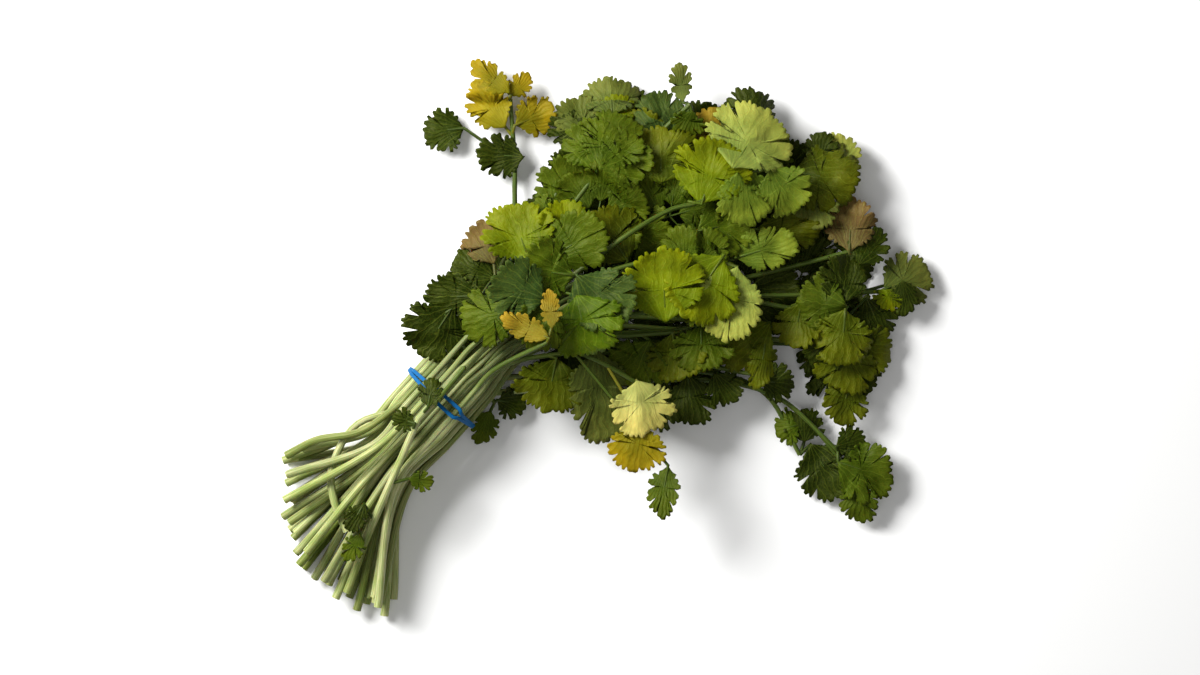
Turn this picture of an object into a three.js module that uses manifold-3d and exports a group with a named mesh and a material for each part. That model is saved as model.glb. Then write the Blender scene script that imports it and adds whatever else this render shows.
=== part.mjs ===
// A bunch of fresh coriander, lying on its side and held by a rubber band wound twice round the stems.
// Millimetres, +Z up. The bunch lies on z = 0, and the origin is on that surface under the middle of
// the rubber band. The cut ends point to -X -Y and the leaves to +X +Y.
import * as THREE from 'three';
import { mergeVertices } from 'three/addons/utils/BufferGeometryUtils.js';
import Module from 'manifold-3d';

// ---------------------------------------------------------------- driving dimensions
const STEM_RADIUS = 1.9;          // a stem at its cut end
const STEM_TIP_RADIUS = 1.0;      // the same stem where its last leaflet joins
const STEM_SIDES = 5;
const STEM_RING_SPACING = 30;     // length of stem between two bends
const STALK_RADIUS = 0.75;        // a leaflet's stalk
const STALK_END_RADIUS = 0.36;    // where it runs into the blade
const STALK_SIDES = 3;
const LEAST_STALK = 4;            // a leaflet beside the stem has a stalk at least this long
const TIP_REACH = 7;              // a leaflet whose base is this near to the tip grows from the tip
const BLADE_THICKNESS = 0.8;      // of a leaflet, measured upright
const HALF_GAP = 0.2;             // air on each side of every stem, stalk and leaflet

const BUNDLE_BEARING = 48;        // degrees from +X in which the stems run through the band
const BUNDLE_ROWS = [5, 6, 7, 8, 7, 6, 5];    // stems side by side in the band, bottom row first
const STEM_PITCH = 4.7;           // between neighbours in a row
const STRAIGHT_HALF = 13;         // the stems run straight this far to each side of the band
const CUT_LENGTH = 104;           // from the band to the longest cut ends
const CUT_BEARINGS = [199, 258];  // degrees, the fan of cut ends from its left side to its right side
const CUT_PLACE = [0.1, 0.9];     // where in its share of the fan a stem is cut
const FULL_LENGTH_FROM = 246;     // degrees; the stems to the left of this bearing are cut shorter
const LEFT_SHORTER = 0.28;        // by this share, at the left side
const CUT_SCATTER = 10;           // and any stem by up to this much
const CUT_SWAY = [-2, 2];         // how far to its side a stem swings on the way to its cut end
const LOWER_LEAD = 0.35;          // share of its way that a stem runs straight on, towards its cut end
const UPPER_LEAD = 0.3;           // and towards its leaves
const LONGEST_LEAD = 30;          // but no further than this
const TIP_RISE = 4;               // each row of stems fans this much higher than the row below it

const STALK_LEAN = 0.8;           // a stalk leaves the stem this far below its base, for 1 beside the stem
const EDGE_MARGIN = 0.6;          // kept clear round a leaflet, for its thickness on a slope
const DROOP = 2;                  // a stalk hangs by up to this much
const LEAST_SLACK = 0.3;          // how freely the leaflets of the bottom row bend, from 0 to 1
const MORE_SLACK = 0.6;           // and how much more those of the top row do
const SLOPES = [-0.45, 0.4];      // rise of a free leaflet for 1 along it
const ROLLS = [-0.5, 0.5];        // and for 1 across it
const CUPS = [-0.35, 0.25];       // how much its sides bend up, as a share of its width
const WAVES = [0.03, 0.1];        // height of the waves of its rim, as a share of its width
const WAVE_TURN = 2.4;            // radians of wave from one point of the rim to the next
const UNEVEN = [0.93, 1.07];      // how far a point of the rim is drawn out, for 1 on an even one

const BAND_WIDTH = 1.7;
const BAND_THICKNESS = 1.3;
const BAND_SPREAD = 2.3;          // each strand leaves the middle by this much, over the top
const BAND_UNDER_SPREAD = 0.4;    // and by this much underneath, where the strands lie together
const BAND_SIDES = 24;            // straight pieces that make one turn of the band
const BAND_HALF_LENGTH = 5;       // the stems clear the table for the band this far to each side of it
const BAND_HALF_REACH = 24;       // and this far across the bundle

const LEAF_ROUGHNESS = 0.6;
const BAND_ROUGHNESS = 0.5;
const BAND_COLOUR = '#1b69aa';

// ---------------------------------------------------------------- leafy stems, from the lowest to the top
// Each has the place of its tip, and its leaflets as [tone, base x, base y, tip x, tip y, width].
// A leaflet 42 or more wide is a whole feathered leaf, cut nearly to its middle into five leaflets.
// Way points, where a stem has them, lead it from the band to its tip (up) or to its cut end (down).
const leafyStems = [
  // the broad leaves at the bottom of the heap
  { tone: 'dark', tip: [74, 98], leaves: [
    ['dark', 74, 98, 83, 141, 46], ['dark', 56, 68, 60, 98, 36]] },
  { tone: 'dark', tip: [168, 24], leaves: [
    ['dark', 174, 28, 188, 2, 34], ['dark', 160, 30, 198, 38, 46]] },
  { tone: 'dark', tip: [112, 100], leaves: [
    ['dark', 112, 100, 121, 134, 46], ['dark', 98, 84, 90, 122, 46],
    ['dark', 98, 74, 122, 84, 30]] },
  { tone: 'dark', tip: [146, 86], leaves: [
    ['dark', 148, 88, 165, 115, 44], ['dark', 128, 72, 140, 112, 46]] },
  { tone: 'dark', tip: [160, 58], leaves: [
    ['dark', 162, 60, 193, 78, 42], ['dark', 146, 50, 186, 54, 46]] },
  { tone: 'dark', tip: [112, 22], leaves: [
    ['dark', 108, 32, 134, 28, 30], ['dark', 94, 26, 116, -8, 42]] },
  { tone: 'dark', tip: [56, 28], leaves: [
    ['dark', 56, 26, 61, -4, 40], ['dark', 34, 50, 2, 56, 34],
    ['dark', 64, 50, 88, 66, 32]] },
  { tone: 'dark', tip: [118, 48], leaves: [
    ['dark', 118, 50, 162, 49, 46], ['dark', 84, 44, 84, 8, 44]] },
  // low leaves at the rim
  { tone: 'dark', tip: [162, -26], up: [[117, 12], [146, 2]], leaves: [
    ['dark', 164, -20, 164, -5, 16], ['green', 162, -12, 151, -15, 15], ['dark', 167, -21, 181, -45, 25]] },
  { tone: 'dark', tip: [179, -24], up: [[120, 8], [152, 0]], leaves: [
    ['green', 188, -38, 189, -56, 17], ['dark', 178, -22, 191, -19, 15],
    ['green', 179, -29, 204, -37, 26]] },
  { tone: 'dark', tip: [110, 10], leaves: [
    ['dark', 102, 7, 93, -13, 22], ['dark', 111, 10, 114, -12, 20], ['dark', 123, 11, 133, -2, 16]] },
  { tone: 'dark', tip: [24, -2], leaves: [
    ['dark', 25, -1, 38, -3, 14], ['green', 22, -6, 17, -21, 11]] },
  { tone: 'olive', tip: [189, 31], leaves: [
    ['dark', 184, 12, 193, 2, 16], ['dark', 192, 45, 200, 27, 19], ['olive', 188, 24, 203, 18, 21]] },
  { tone: 'dark', tip: [145, 10], leaves: [
    ['dark', 144, 8, 159, 6, 17]] },
  { tone: 'olive', tip: [185, 24], leaves: [
    ['olive', 185, 8, 179, -12, 19], ['dark', 177, 29, 167, 14, 20], ['olive', 184, 26, 182, 2, 26]] },
  { tone: 'yellow', tip: [31, 135], up: [[30, 66], [33, 98]], leaves: [
    ['dark', 10, 122, -8, 120, 18], ['dark', 37, 109, 16, 110, 18], ['yellow', 29, 122, 14, 143, 17],
    ['yellow', 33, 123, 51, 131, 17], ['yellow', 31, 137, 13, 151, 11], ['yellow', 31, 136, 40, 146, 9]] },
  // the crown and the outer edge
  { tone: 'grey', tip: [77, 129], leaves: [
    ['dark', 61, 114, 53, 129, 16], ['grey', 68, 116, 58, 135, 23], ['lime', 81, 122, 78, 137, 16],
    ['grey', 77, 127, 76, 145, 26]] },
  { tone: 'grey', tip: [198, 48], leaves: [
    ['dark', 208, 53, 210, 37, 11], ['lime', 203, 49, 200, 40, 12], ['grey', 200, 49, 220, 58, 22]] },
  { tone: 'blue', tip: [102, 116], leaves: [
    ['olive', 90, 112, 91, 131, 19], ['blue', 102, 116, 95, 138, 21], ['blue', 105, 117, 112, 131, 17]] },
  { tone: 'green', tip: [139, 121], leaves: [
    ['green', 132, 104, 157, 115, 42], ['dark', 139, 122, 140, 140, 21]] },
  { tone: 'gold', tip: [124, 111], leaves: [
    ['tan', 117, 110, 117, 127, 14], ['gold', 124, 110, 122, 131, 20]] },
  { tone: 'green', tip: [112, 132], leaves: [
    ['green', 113, 129, 109, 118, 15], ['grey', 109, 133, 107, 151, 9]] },
  { tone: 'brown', tip: [184, 66], leaves: [
    ['dark', 188, 60, 197, 77, 17], ['brown', 184, 65, 185, 91, 22]] },
  { tone: 'pale', tip: [180, 102], leaves: [
    ['dark', 170, 106, 172, 120, 14], ['pale', 179, 100, 181, 119, 18]] },
  { tone: 'olive', tip: [159, 102], leaves: [
    ['grey', 165, 96, 170, 76, 21], ['olive', 158, 102, 188, 97, 30]] },
  { tone: 'olive', tip: [146, 33], leaves: [
    ['olive', 148, 34, 124, 16, 25], ['olive', 146, 27, 143, 4, 12]] },
  { tone: 'lime', tip: [182, 40], up: [[60, 50], [138, 44], [161, 40]], leaves: [
    ['green', 183, 41, 160, 44, 24], ['olive', 182, 40, 180, 15, 25], ['olive', 162, 43, 159, 22, 20],
    ['dark', 181, 42, 182, 64, 20]] },
  { tone: 'light', tip: [135, 64], leaves: [
    ['olive', 141, 76, 170, 74, 17], ['light', 132, 63, 160, 71, 18]] },
  { tone: 'green', tip: [52, 92], leaves: [
    ['dark', 58, 101, 55, 112, 16], ['green', 56, 80, 62, 109, 30], ['green', 50, 82, 40, 87, 13]] },
  // the leaves that lie open on top of the heap, the furthest first
  { tone: 'green', tip: [108, 30], leaves: [
    ['green', 94, 26, 84, 6, 26], ['olive', 104, 29, 108, 8, 24], ['green', 117, 33, 117, 12, 26]] },
  { tone: 'olive', tip: [99, 96], leaves: [
    ['green', 90, 78, 124, 88, 42], ['olive', 99, 97, 99, 122, 40],
    ['green', 80, 76, 102, 68, 27]] },
  { tone: 'green', tip: [70, 101], leaves: [
    ['green', 58, 80, 92, 90, 42], ['green', 71, 103, 94, 112, 24], ['green', 70, 102, 65, 125, 25],
    ['green', 72, 103, 82, 127, 28]] },
  { tone: 'green', tip: [117, 75], leaves: [
    ['green', 100, 58, 132, 52, 42], ['green', 115, 75, 139, 80, 27],
    ['olive', 84, 62, 68, 84, 28]] },
  { tone: 'pale', tip: [132, 104], up: [[62, 57], [102, 84], [118, 89]], leaves: [
    ['light', 148, 103, 160, 84, 24], ['light', 135, 104, 140, 77, 26], ['lime', 117, 87, 127, 116, 31],
    ['pale', 131, 103, 148, 130, 37]] },
  { tone: 'lime', tip: [126, 63], up: [[50, 46], [96, 62]], leaves: [
    ['pale', 133, 59, 127, 25, 28], ['lime', 127, 64, 108, 36, 34]] },
  { tone: 'lime', tip: [100, 40], leaves: [
    ['lime', 101, 34, 99, 68, 34]] },
  { tone: 'grey', tip: [70, 22], leaves: [
    ['olive', 52, 18, 47, -7, 30], ['grey', 70, 23, 74, -20, 27]] },
  // the leaves nearest to the band, which hide the stems of the others
  { tone: 'dark', tip: [17, 48], down: [[-38, -12], [-49, -32], [-48, -46]], cut: [-42, -60], leaves: [
    ['dark', 24, 54, 6, 62, 18], ['dark', 18, 46, -8, 45, 20]] },
  { tone: 'dark', tip: [2, 38], down: [[-36, -15], [-56, -19]], cut: [-70, -26], leaves: [
    ['dark', 5, 40, -9, 19, 30]] },
  { tone: 'cream', tip: [88, 7], up: [[40, 26], [68, 18]], leaves: [
    ['green', 102, -30, 98, -53, 13], ['yellow', 90, -11, 86, -33, 24], ['cream', 88, 8, 92, -16, 26]] },
  { tone: 'lime', tip: [48, 63], leaves: [
    ['brown', 24, 60, 17, 80, 20], ['lime', 56, 66, 56, 89, 21], ['green', 48, 62, 74, 78, 27],
    ['lime', 40, 61, 31, 87, 31]] },
  { tone: 'bright', tip: [60, 55], leaves: [
    ['blue', 61, 55, 84, 34, 28], ['green', 60, 55, 36, 58, 31], ['bright', 61, 46, 67, 20, 33]] },
  { tone: 'blue', tip: [47, 44], leaves: [
    ['green', 34, 40, 10, 33, 24], ['green', 50, 41, 40, 22, 21], ['blue', 48, 44, 23, 54, 26]] },
  { tone: 'gold', tip: [48, 25], leaves: [
    ['gold', 50, 31, 49, 49, 8], ['gold', 49, 27, 27, 36, 10]] },
];

// The young sprig lies on the finished bundle, over the band.
const youngSprig = { tone: 'green', tip: [-1, -1], cut: [-38, -73], down: [[-24, -42]],
  across: -1, rise: 0, droop: 1, slackness: 0.6, leaves: [
  ['green', -36, -61, -42, -73, 12], ['dark', -34, -47, -41, -59, 13], ['green', -14, -36, -3, -38, 12],
  ['dark', -11, -11, -21, -8, 14], ['green', -5, -4, -3, 9, 14]] };

// ---------------------------------------------------------------- the outline of a leaflet
// Half of it, from the base round to the tip: across by along, for a leaflet 1 wide and 1 long.
// Each edge is for leaflets at least as wide as its first number.
const EDGES = [
  [42, [[0.05, 0.28], [0.30, 0.08], [0.50, 0.20], [0.44, 0.33], [0.12, 0.40], [0.46, 0.46], [0.52, 0.66],
    [0.32, 0.72], [0.09, 0.55], [0.22, 0.82]]],
  [24, [[0.14, 0.07], [0.40, 0.22], [0.53, 0.42], [0.40, 0.46], [0.53, 0.64], [0.28, 0.66], [0.33, 0.92]]],
  [15, [[0.20, 0.10], [0.48, 0.34], [0.50, 0.60], [0.28, 0.64], [0.28, 0.92]]],
  [0, [[0.30, 0.14], [0.50, 0.42], [0.24, 0.58], [0.26, 0.88]]],
];
const VEIN_JOINT = 0.42;          // how far along it the leaflet's veins spread from
const STALK_END = 0.2;            // how far along it the stalk runs in

const TONES = {
  dark: '#39491a', green: '#5f7528', grey: '#6f7d4c', blue: '#45583a', olive: '#6f7422', lime: '#87901f',
  light: '#8f9a4a', pale: '#a3a860', cream: '#bcb470', yellow: '#a29a24', gold: '#9a8620',
  brown: '#7c6a3a', bright: '#6c8412',
};

// ---------------------------------------------------------------- seeded random draws
const DRAW_FACTOR = 16807;
const DRAW_COUNT = 2147483647;
let seed = 20231;
function draw([low, high]) {
  seed = (seed * DRAW_FACTOR) % DRAW_COUNT;
  return low + (high - low) * seed / DRAW_COUNT;
}

// ---------------------------------------------------------------- the heap
// A map of the highest surface laid so far. Whatever is laid next keeps above it.
const CELL = 0.5;
const MAP_X = -95;
const MAP_Y = -115;
const COLUMNS = 660;
const ROWS = 560;
const heap = new Float64Array(COLUMNS * ROWS).fill(-HALF_GAP);
const cellX = (column) => MAP_X + (column + 0.5) * CELL;
const cellY = (row) => MAP_Y + (row + 0.5) * CELL;

// Calls visit(x, y, cell) for each cell of the map inside the box.
function eachCell(lowX, lowY, highX, highY, visit) {
  const firstColumn = Math.ceil((lowX - MAP_X) / CELL - 0.5);
  const lastColumn = Math.floor((highX - MAP_X) / CELL - 0.5);
  const firstRow = Math.ceil((lowY - MAP_Y) / CELL - 0.5);
  const lastRow = Math.floor((highY - MAP_Y) / CELL - 0.5);
  for (let row = firstRow; row <= lastRow; row += 1) {
    for (let column = firstColumn; column <= lastColumn; column += 1) {
      visit(cellX(column), cellY(row), row * COLUMNS + column);
    }
  }
}

const NO_LENGTH = 1e-9;           // the least square of a rod's length, so that nothing is divided by 0

// A spot is one cell that a piece covers: shares says which heights of the piece carry it, and lift is
// how far the piece's surface is above and below its middle there.
function makeSpot(cell, shares, lift) {
  const square = shares.reduce((sum, share) => sum + share[1] * share[1], 0);
  return { cell, shares, lift, square };
}

function mixShares(first, second, t) {
  const mixed = new Map();
  for (const [index, share] of first) mixed.set(index, share * (1 - t));
  for (const [index, share] of second) mixed.set(index, (mixed.get(index) ?? 0) + share * t);
  return [...mixed];
}

// The spots under a round rod through points; shares[k] carries point k.
function rodSpots(points, radii, shares) {
  const spots = [];
  for (let k = 0; k + 1 < points.length; k += 1) {
    const [ax, ay] = points[k];
    const [bx, by] = points[k + 1];
    const lengthSquare = Math.max((bx - ax) ** 2 + (by - ay) ** 2, NO_LENGTH);
    const reach = Math.max(radii[k], radii[k + 1]) + HALF_GAP;
    eachCell(Math.min(ax, bx) - reach, Math.min(ay, by) - reach,
      Math.max(ax, bx) + reach, Math.max(ay, by) + reach, (x, y, cell) => {
        const along = ((x - ax) * (bx - ax) + (y - ay) * (by - ay)) / lengthSquare;
        const t = Math.min(1, Math.max(0, along));
        const away = Math.hypot(x - ax - t * (bx - ax), y - ay - t * (by - ay));
        const radius = radii[k] + t * (radii[k + 1] - radii[k]) + HALF_GAP;
        if (away < radius) {
          const lift = Math.sqrt(radius ** 2 - away ** 2);
          spots.push(makeSpot(cell, mixShares(shares[k], shares[k + 1], t), lift));
        }
      });
  }
  return spots;
}

// The spots under a blade: a fan of triangles from its vein joint, height 0, to its rim, heights 1 and on.
function bladeSpots(joint, rim) {
  const lift = BLADE_THICKNESS / 2 + HALF_GAP;
  const edge = rim.map(([x, y]) => {
    const reach = Math.hypot(x - joint[0], y - joint[1]);
    const grown = (reach + EDGE_MARGIN) / reach;
    return [joint[0] + (x - joint[0]) * grown, joint[1] + (y - joint[1]) * grown];
  });
  const spots = [];
  for (let k = 0; k < edge.length; k += 1) {
    const next = (k + 1) % edge.length;
    const [ax, ay] = edge[k];
    const [bx, by] = edge[next];
    const whole = (ax - joint[0]) * (by - joint[1]) - (bx - joint[0]) * (ay - joint[1]);
    eachCell(Math.min(joint[0], ax, bx), Math.min(joint[1], ay, by),
      Math.max(joint[0], ax, bx), Math.max(joint[1], ay, by), (x, y, cell) => {
        const a = ((x - joint[0]) * (by - joint[1]) - (bx - joint[0]) * (y - joint[1])) / whole;
        const b = ((ax - joint[0]) * (y - joint[1]) - (x - joint[0]) * (ay - joint[1])) / whole;
        if (a >= 0 && b >= 0 && a + b <= 1) {
          spots.push(makeSpot(cell, [[0, 1 - a - b], [k + 1, a], [next + 1, b]], lift));
        }
      });
  }
  return spots;
}

const spotHeight = (spot, heights) =>
  spot.shares.reduce((sum, [index, share]) => sum + share * heights[index], 0);

// Raises a piece until it is clear of the heap: by easy steps first, then by all that is still wanted.
const EASY_STEPS = 20;
const EASY_SHARE = 0.2;
function settle(spots, heights) {
  for (let step = 0; step <= EASY_STEPS; step += 1) {
    const share = step < EASY_STEPS ? EASY_SHARE : 1;
    const rise = heights.map(() => 0);
    for (const spot of spots) {
      const wanted = heap[spot.cell] + spot.lift - spotHeight(spot, heights);
      if (wanted > 0) {
        for (const [index, part] of spot.shares) {
          rise[index] = Math.max(rise[index], share * wanted * part / spot.square);
        }
      }
    }
    rise.forEach((amount, index) => { heights[index] += amount; });
  }
}

function addToHeap(spots, heights) {
  for (const spot of spots) {
    heap[spot.cell] = Math.max(heap[spot.cell], spotHeight(spot, heights) + spot.lift);
  }
}

// A stem is stiff: it neither drops steeply off what it crosses nor bends down into a narrow dip.
const STEEPEST_FALL = 14;         // from one ring of a stem to the next
const DEEPEST_DIP = 1.0;          // below the line between the rings on each side
const STIFF_STEPS = 20;
function stiffen(heights, count) {
  for (let step = 0; step < STIFF_STEPS; step += 1) {
    for (let k = 0; k < count; k += 1) {
      const before = heights[Math.max(k - 1, 0)];
      const after = heights[Math.min(k + 1, count - 1)];
      const least = Math.max(before, after) - STEEPEST_FALL;
      heights[k] = Math.max(heights[k], least);
      if (k > 0 && k + 1 < count) {
        heights[k] = Math.max(heights[k], (before + after) / 2 - DEEPEST_DIP);
      }
    }
  }
}

// ---------------------------------------------------------------- solids
const wasm = await Module();
wasm.setup();

const SAME_PLACE = 1e-4;          // corners of one solid nearer than this are one corner
function toManifold(geometry) {
  geometry.deleteAttribute('normal');
  geometry.deleteAttribute('uv');
  const merged = mergeVertices(geometry, SAME_PLACE);
  return new wasm.Manifold(new wasm.Mesh({
    numProp: 3,
    vertProperties: new Float32Array(merged.attributes.position.array),
    triVerts: new Uint32Array(merged.index.array),
  }));
}

// A join can leave a sealed pocket or a loose crumb. Those smaller than CRUMB, in cubic millimetres, go.
const CRUMB = 0.1;
function withoutCrumbs(solid) {
  return wasm.Manifold.compose(solid.decompose().filter((body) => Math.abs(body.volume()) > CRUMB));
}

// A join leaves some corners almost on top of each other. Those that an edge shorter than WELD links
// become one corner, and the triangles between them go.
const WELD = 0.03;
function weldCorners(places, corners) {
  const home = Array.from({ length: places.length / 3 }, (_, index) => index);
  const find = (index) => {
    let at = index;
    while (home[at] !== at) at = home[at];
    return at;
  };
  const step = (a, b, axis) => places[3 * a + axis] - places[3 * b + axis];
  const apart = (a, b) => Math.hypot(step(a, b, 0), step(a, b, 1), step(a, b, 2));
  for (let t = 0; t < corners.length; t += 3) {
    for (let side = 0; side < 3; side += 1) {
      const a = find(corners[t + side]);
      const b = find(corners[t + (side + 1) % 3]);
      if (a !== b && apart(a, b) < WELD) home[Math.max(a, b)] = Math.min(a, b);
    }
  }
  const kept = new Map();
  for (let t = 0; t < corners.length; t += 3) {
    const [a, b, c] = [0, 1, 2].map((side) => find(corners[t + side]));
    if (a === b || b === c || c === a) continue;
    const key = [a, b, c].sort((p, q) => p - q).join();
    if (kept.has(key)) kept.delete(key);     // two faces that now lie back to back
    else kept.set(key, [a, b, c]);
  }
  return [...kept.values()].flat();
}

function toGeometry(manifold) {
  const mesh = manifold.getMesh();
  const geometry = new THREE.BufferGeometry();
  geometry.setAttribute('position', new THREE.BufferAttribute(new Float32Array(mesh.vertProperties), 3));
  geometry.setIndex(weldCorners(mesh.vertProperties, Array.from(mesh.triVerts)));
  return geometry;
}

function regularSection(sides) {
  const corners = [];
  for (let side = 0; side < sides; side += 1) {
    const angle = Math.PI / 2 + side * 2 * Math.PI / sides;
    corners.push(new THREE.Vector2(Math.cos(angle), Math.sin(angle)));
  }
  return new THREE.Shape(corners);
}

// A straight rod with a ring at each point, bent so that ring k is at points[k] with radius radii[k].
function bentRod(points, radii, sides) {
  const steps = points.length - 1;
  const section = regularSection(sides);
  const geometry = new THREE.ExtrudeGeometry(section, { depth: steps, steps, bevelEnabled: false });
  const place = geometry.attributes.position;
  const up = new THREE.Vector3(0, 0, 1);
  for (let i = 0; i < place.count; i += 1) {
    const k = Math.round(place.getZ(i));
    const before = points[Math.max(k - 1, 0)];
    const after = points[Math.min(k + 1, steps)];
    const forward = after.clone().sub(before).normalize();
    const side = up.clone().cross(forward).normalize();
    const top = forward.clone().cross(side);
    const spot = points[k].clone()
      .addScaledVector(side, radii[k] * place.getX(i))
      .addScaledVector(top, radii[k] * place.getY(i));
    place.setXYZ(i, spot.x, spot.y, Math.max(spot.z, 0));
  }
  return toManifold(geometry);
}

// A flat disc whose middle goes to the vein joint and whose rim is drawn out to the leaflet's edge.
function blade(joint, rim, heights) {
  const count = rim.length;
  const discRadius = 1;
  const geometry = new THREE.CylinderGeometry(discRadius, discRadius, BLADE_THICKNESS, count, 1);
  geometry.rotateX(Math.PI / 2);
  const place = geometry.attributes.position;
  for (let i = 0; i < place.count; i += 1) {
    const x = place.getX(i);
    const y = place.getY(i);
    const z = place.getZ(i);
    if (Math.hypot(x, y) < discRadius / 2) {
      place.setXYZ(i, joint[0], joint[1], heights[0] + z);
    } else {
      const turn = Math.atan2(x, -y) / (2 * Math.PI);
      const k = (Math.round(turn * count) + count) % count;
      place.setXYZ(i, rim[k][0], rim[k][1], heights[k + 1] + z);
    }
  }
  return toManifold(geometry);
}

// ---------------------------------------------------------------- one leafy stem
const axisX = Math.cos(THREE.MathUtils.degToRad(BUNDLE_BEARING));
const axisY = Math.sin(THREE.MathUtils.degToRad(BUNDLE_BEARING));

// A place in the bundle: along its axis from the band, and across it, to the right.
const inBundle = (along, across) => [axisX * along + axisY * across, axisY * along - axisX * across];

function evenPoints(way) {
  const places = way.map(([x, y]) => new THREE.Vector3(x, y, 0));
  const curve = new THREE.CatmullRomCurve3(places, false, 'centripetal');
  const steps = Math.max(2, Math.round(curve.getLength() / STEM_RING_SPACING));
  return curve.getSpacedPoints(steps).map((point) => [point.x, point.y]);
}

// The stem from its cut end to its tip, straight where it goes through the band.
function stemPoints(stem) {
  const below = inBundle(-STRAIGHT_HALF, stem.across);
  const above = inBundle(STRAIGHT_HALF, stem.across);
  const farDown = Math.hypot(stem.cut[0] - below[0], stem.cut[1] - below[1]);
  const farUp = Math.hypot(stem.tip[0] - above[0], stem.tip[1] - above[1]);
  const down = stem.down ?? [inBundle(-STRAIGHT_HALF - LOWER_LEAD * farDown, stem.across + stem.sway)];
  const up = stem.up ?? [inBundle(STRAIGHT_HALF + Math.min(UPPER_LEAD * farUp, LONGEST_LEAD), stem.across)];
  const lower = evenPoints([below, ...down, stem.cut]).reverse();
  const upper = evenPoints([above, ...up, stem.tip]);
  return [...lower, ...upper];
}

// Where a leaflet's stalk leaves the stem: a little below the point of the stem nearest to its base,
// or at the tip itself.
function branch(points, base) {
  const lengths = [0];
  let best = { away: Infinity, along: 0 };
  for (let k = 0; k + 1 < points.length; k += 1) {
    const [ax, ay] = points[k];
    const [bx, by] = points[k + 1];
    const length = Math.hypot(bx - ax, by - ay);
    const share = ((base[0] - ax) * (bx - ax) + (base[1] - ay) * (by - ay)) / length ** 2;
    const t = Math.min(1, Math.max(0, share));
    const away = Math.hypot(base[0] - ax - t * (bx - ax), base[1] - ay - t * (by - ay));
    if (away < best.away) best = { away, along: lengths[k] + t * length };
    lengths.push(lengths[k] + length);
  }
  const whole = lengths.at(-1);
  const atTip = best.along > whole - TIP_REACH && best.away < TIP_REACH;
  const along = atTip ? whole : best.along - Math.max(LEAST_STALK, STALK_LEAN * best.away);
  let k = 0;
  while (k + 2 < points.length && lengths[k + 1] < along) k += 1;
  const t = Math.max(0, (along - lengths[k]) / (lengths[k + 1] - lengths[k]));
  const point = [0, 1].map((i) => points[k][i] + t * (points[k + 1][i] - points[k][i]));
  return { point, shares: [[k, 1 - t], [k + 1, t]] };
}

// The joint and rim of a leaflet, with its edge a little uneven.
function outline([, baseX, baseY, tipX, tipY, width]) {
  const alongX = tipX - baseX;
  const alongY = tipY - baseY;
  const length = Math.hypot(alongX, alongY);
  const half = EDGES.find(([least]) => width >= least)[1];
  const right = [[0, 0], ...half, [0, 1]];
  const left = half.map(([across, along]) => [-across, along]).reverse();
  const toPlan = (across, along) => [
    baseX + along * alongX + across * width * alongY / length,
    baseY + along * alongY - across * width * alongX / length];
  const rim = [...right, ...left].map(([across, along], index) => {
    const grown = index === 0 ? 1 : draw(UNEVEN);
    return toPlan(across * grown, VEIN_JOINT + (along - VEIN_JOINT) * grown);
  });
  return { joint: toPlan(0, VEIN_JOINT), rim, stalkEnd: toPlan(0, STALK_END) };
}

// The height that each point of a leaflet would take if nothing held it up.
function freeHeights(leaflet, shape, rootHeight, slackness) {
  const [, baseX, baseY, tipX, tipY, width] = leaflet;
  const length = Math.hypot(tipX - baseX, tipY - baseY);
  const slope = draw(SLOPES) * slackness;
  const roll = draw(ROLLS) * slackness;
  const cup = draw(CUPS) * slackness;
  const wave = draw(WAVES) * width * slackness;
  const phase = draw([0, 2 * Math.PI]);
  return [shape.joint, ...shape.rim].map(([x, y], index) => {
    const along = ((x - baseX) * (tipX - baseX) + (y - baseY) * (tipY - baseY)) / length;
    const across = ((x - baseX) * (tipY - baseY) - (y - baseY) * (tipX - baseX)) / length;
    const ripple = index === 0 ? 0 : wave * Math.sin(phase + index * WAVE_TURN);
    return rootHeight + slope * along + roll * across + cup * across * across / width + ripple;
  });
}

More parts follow.
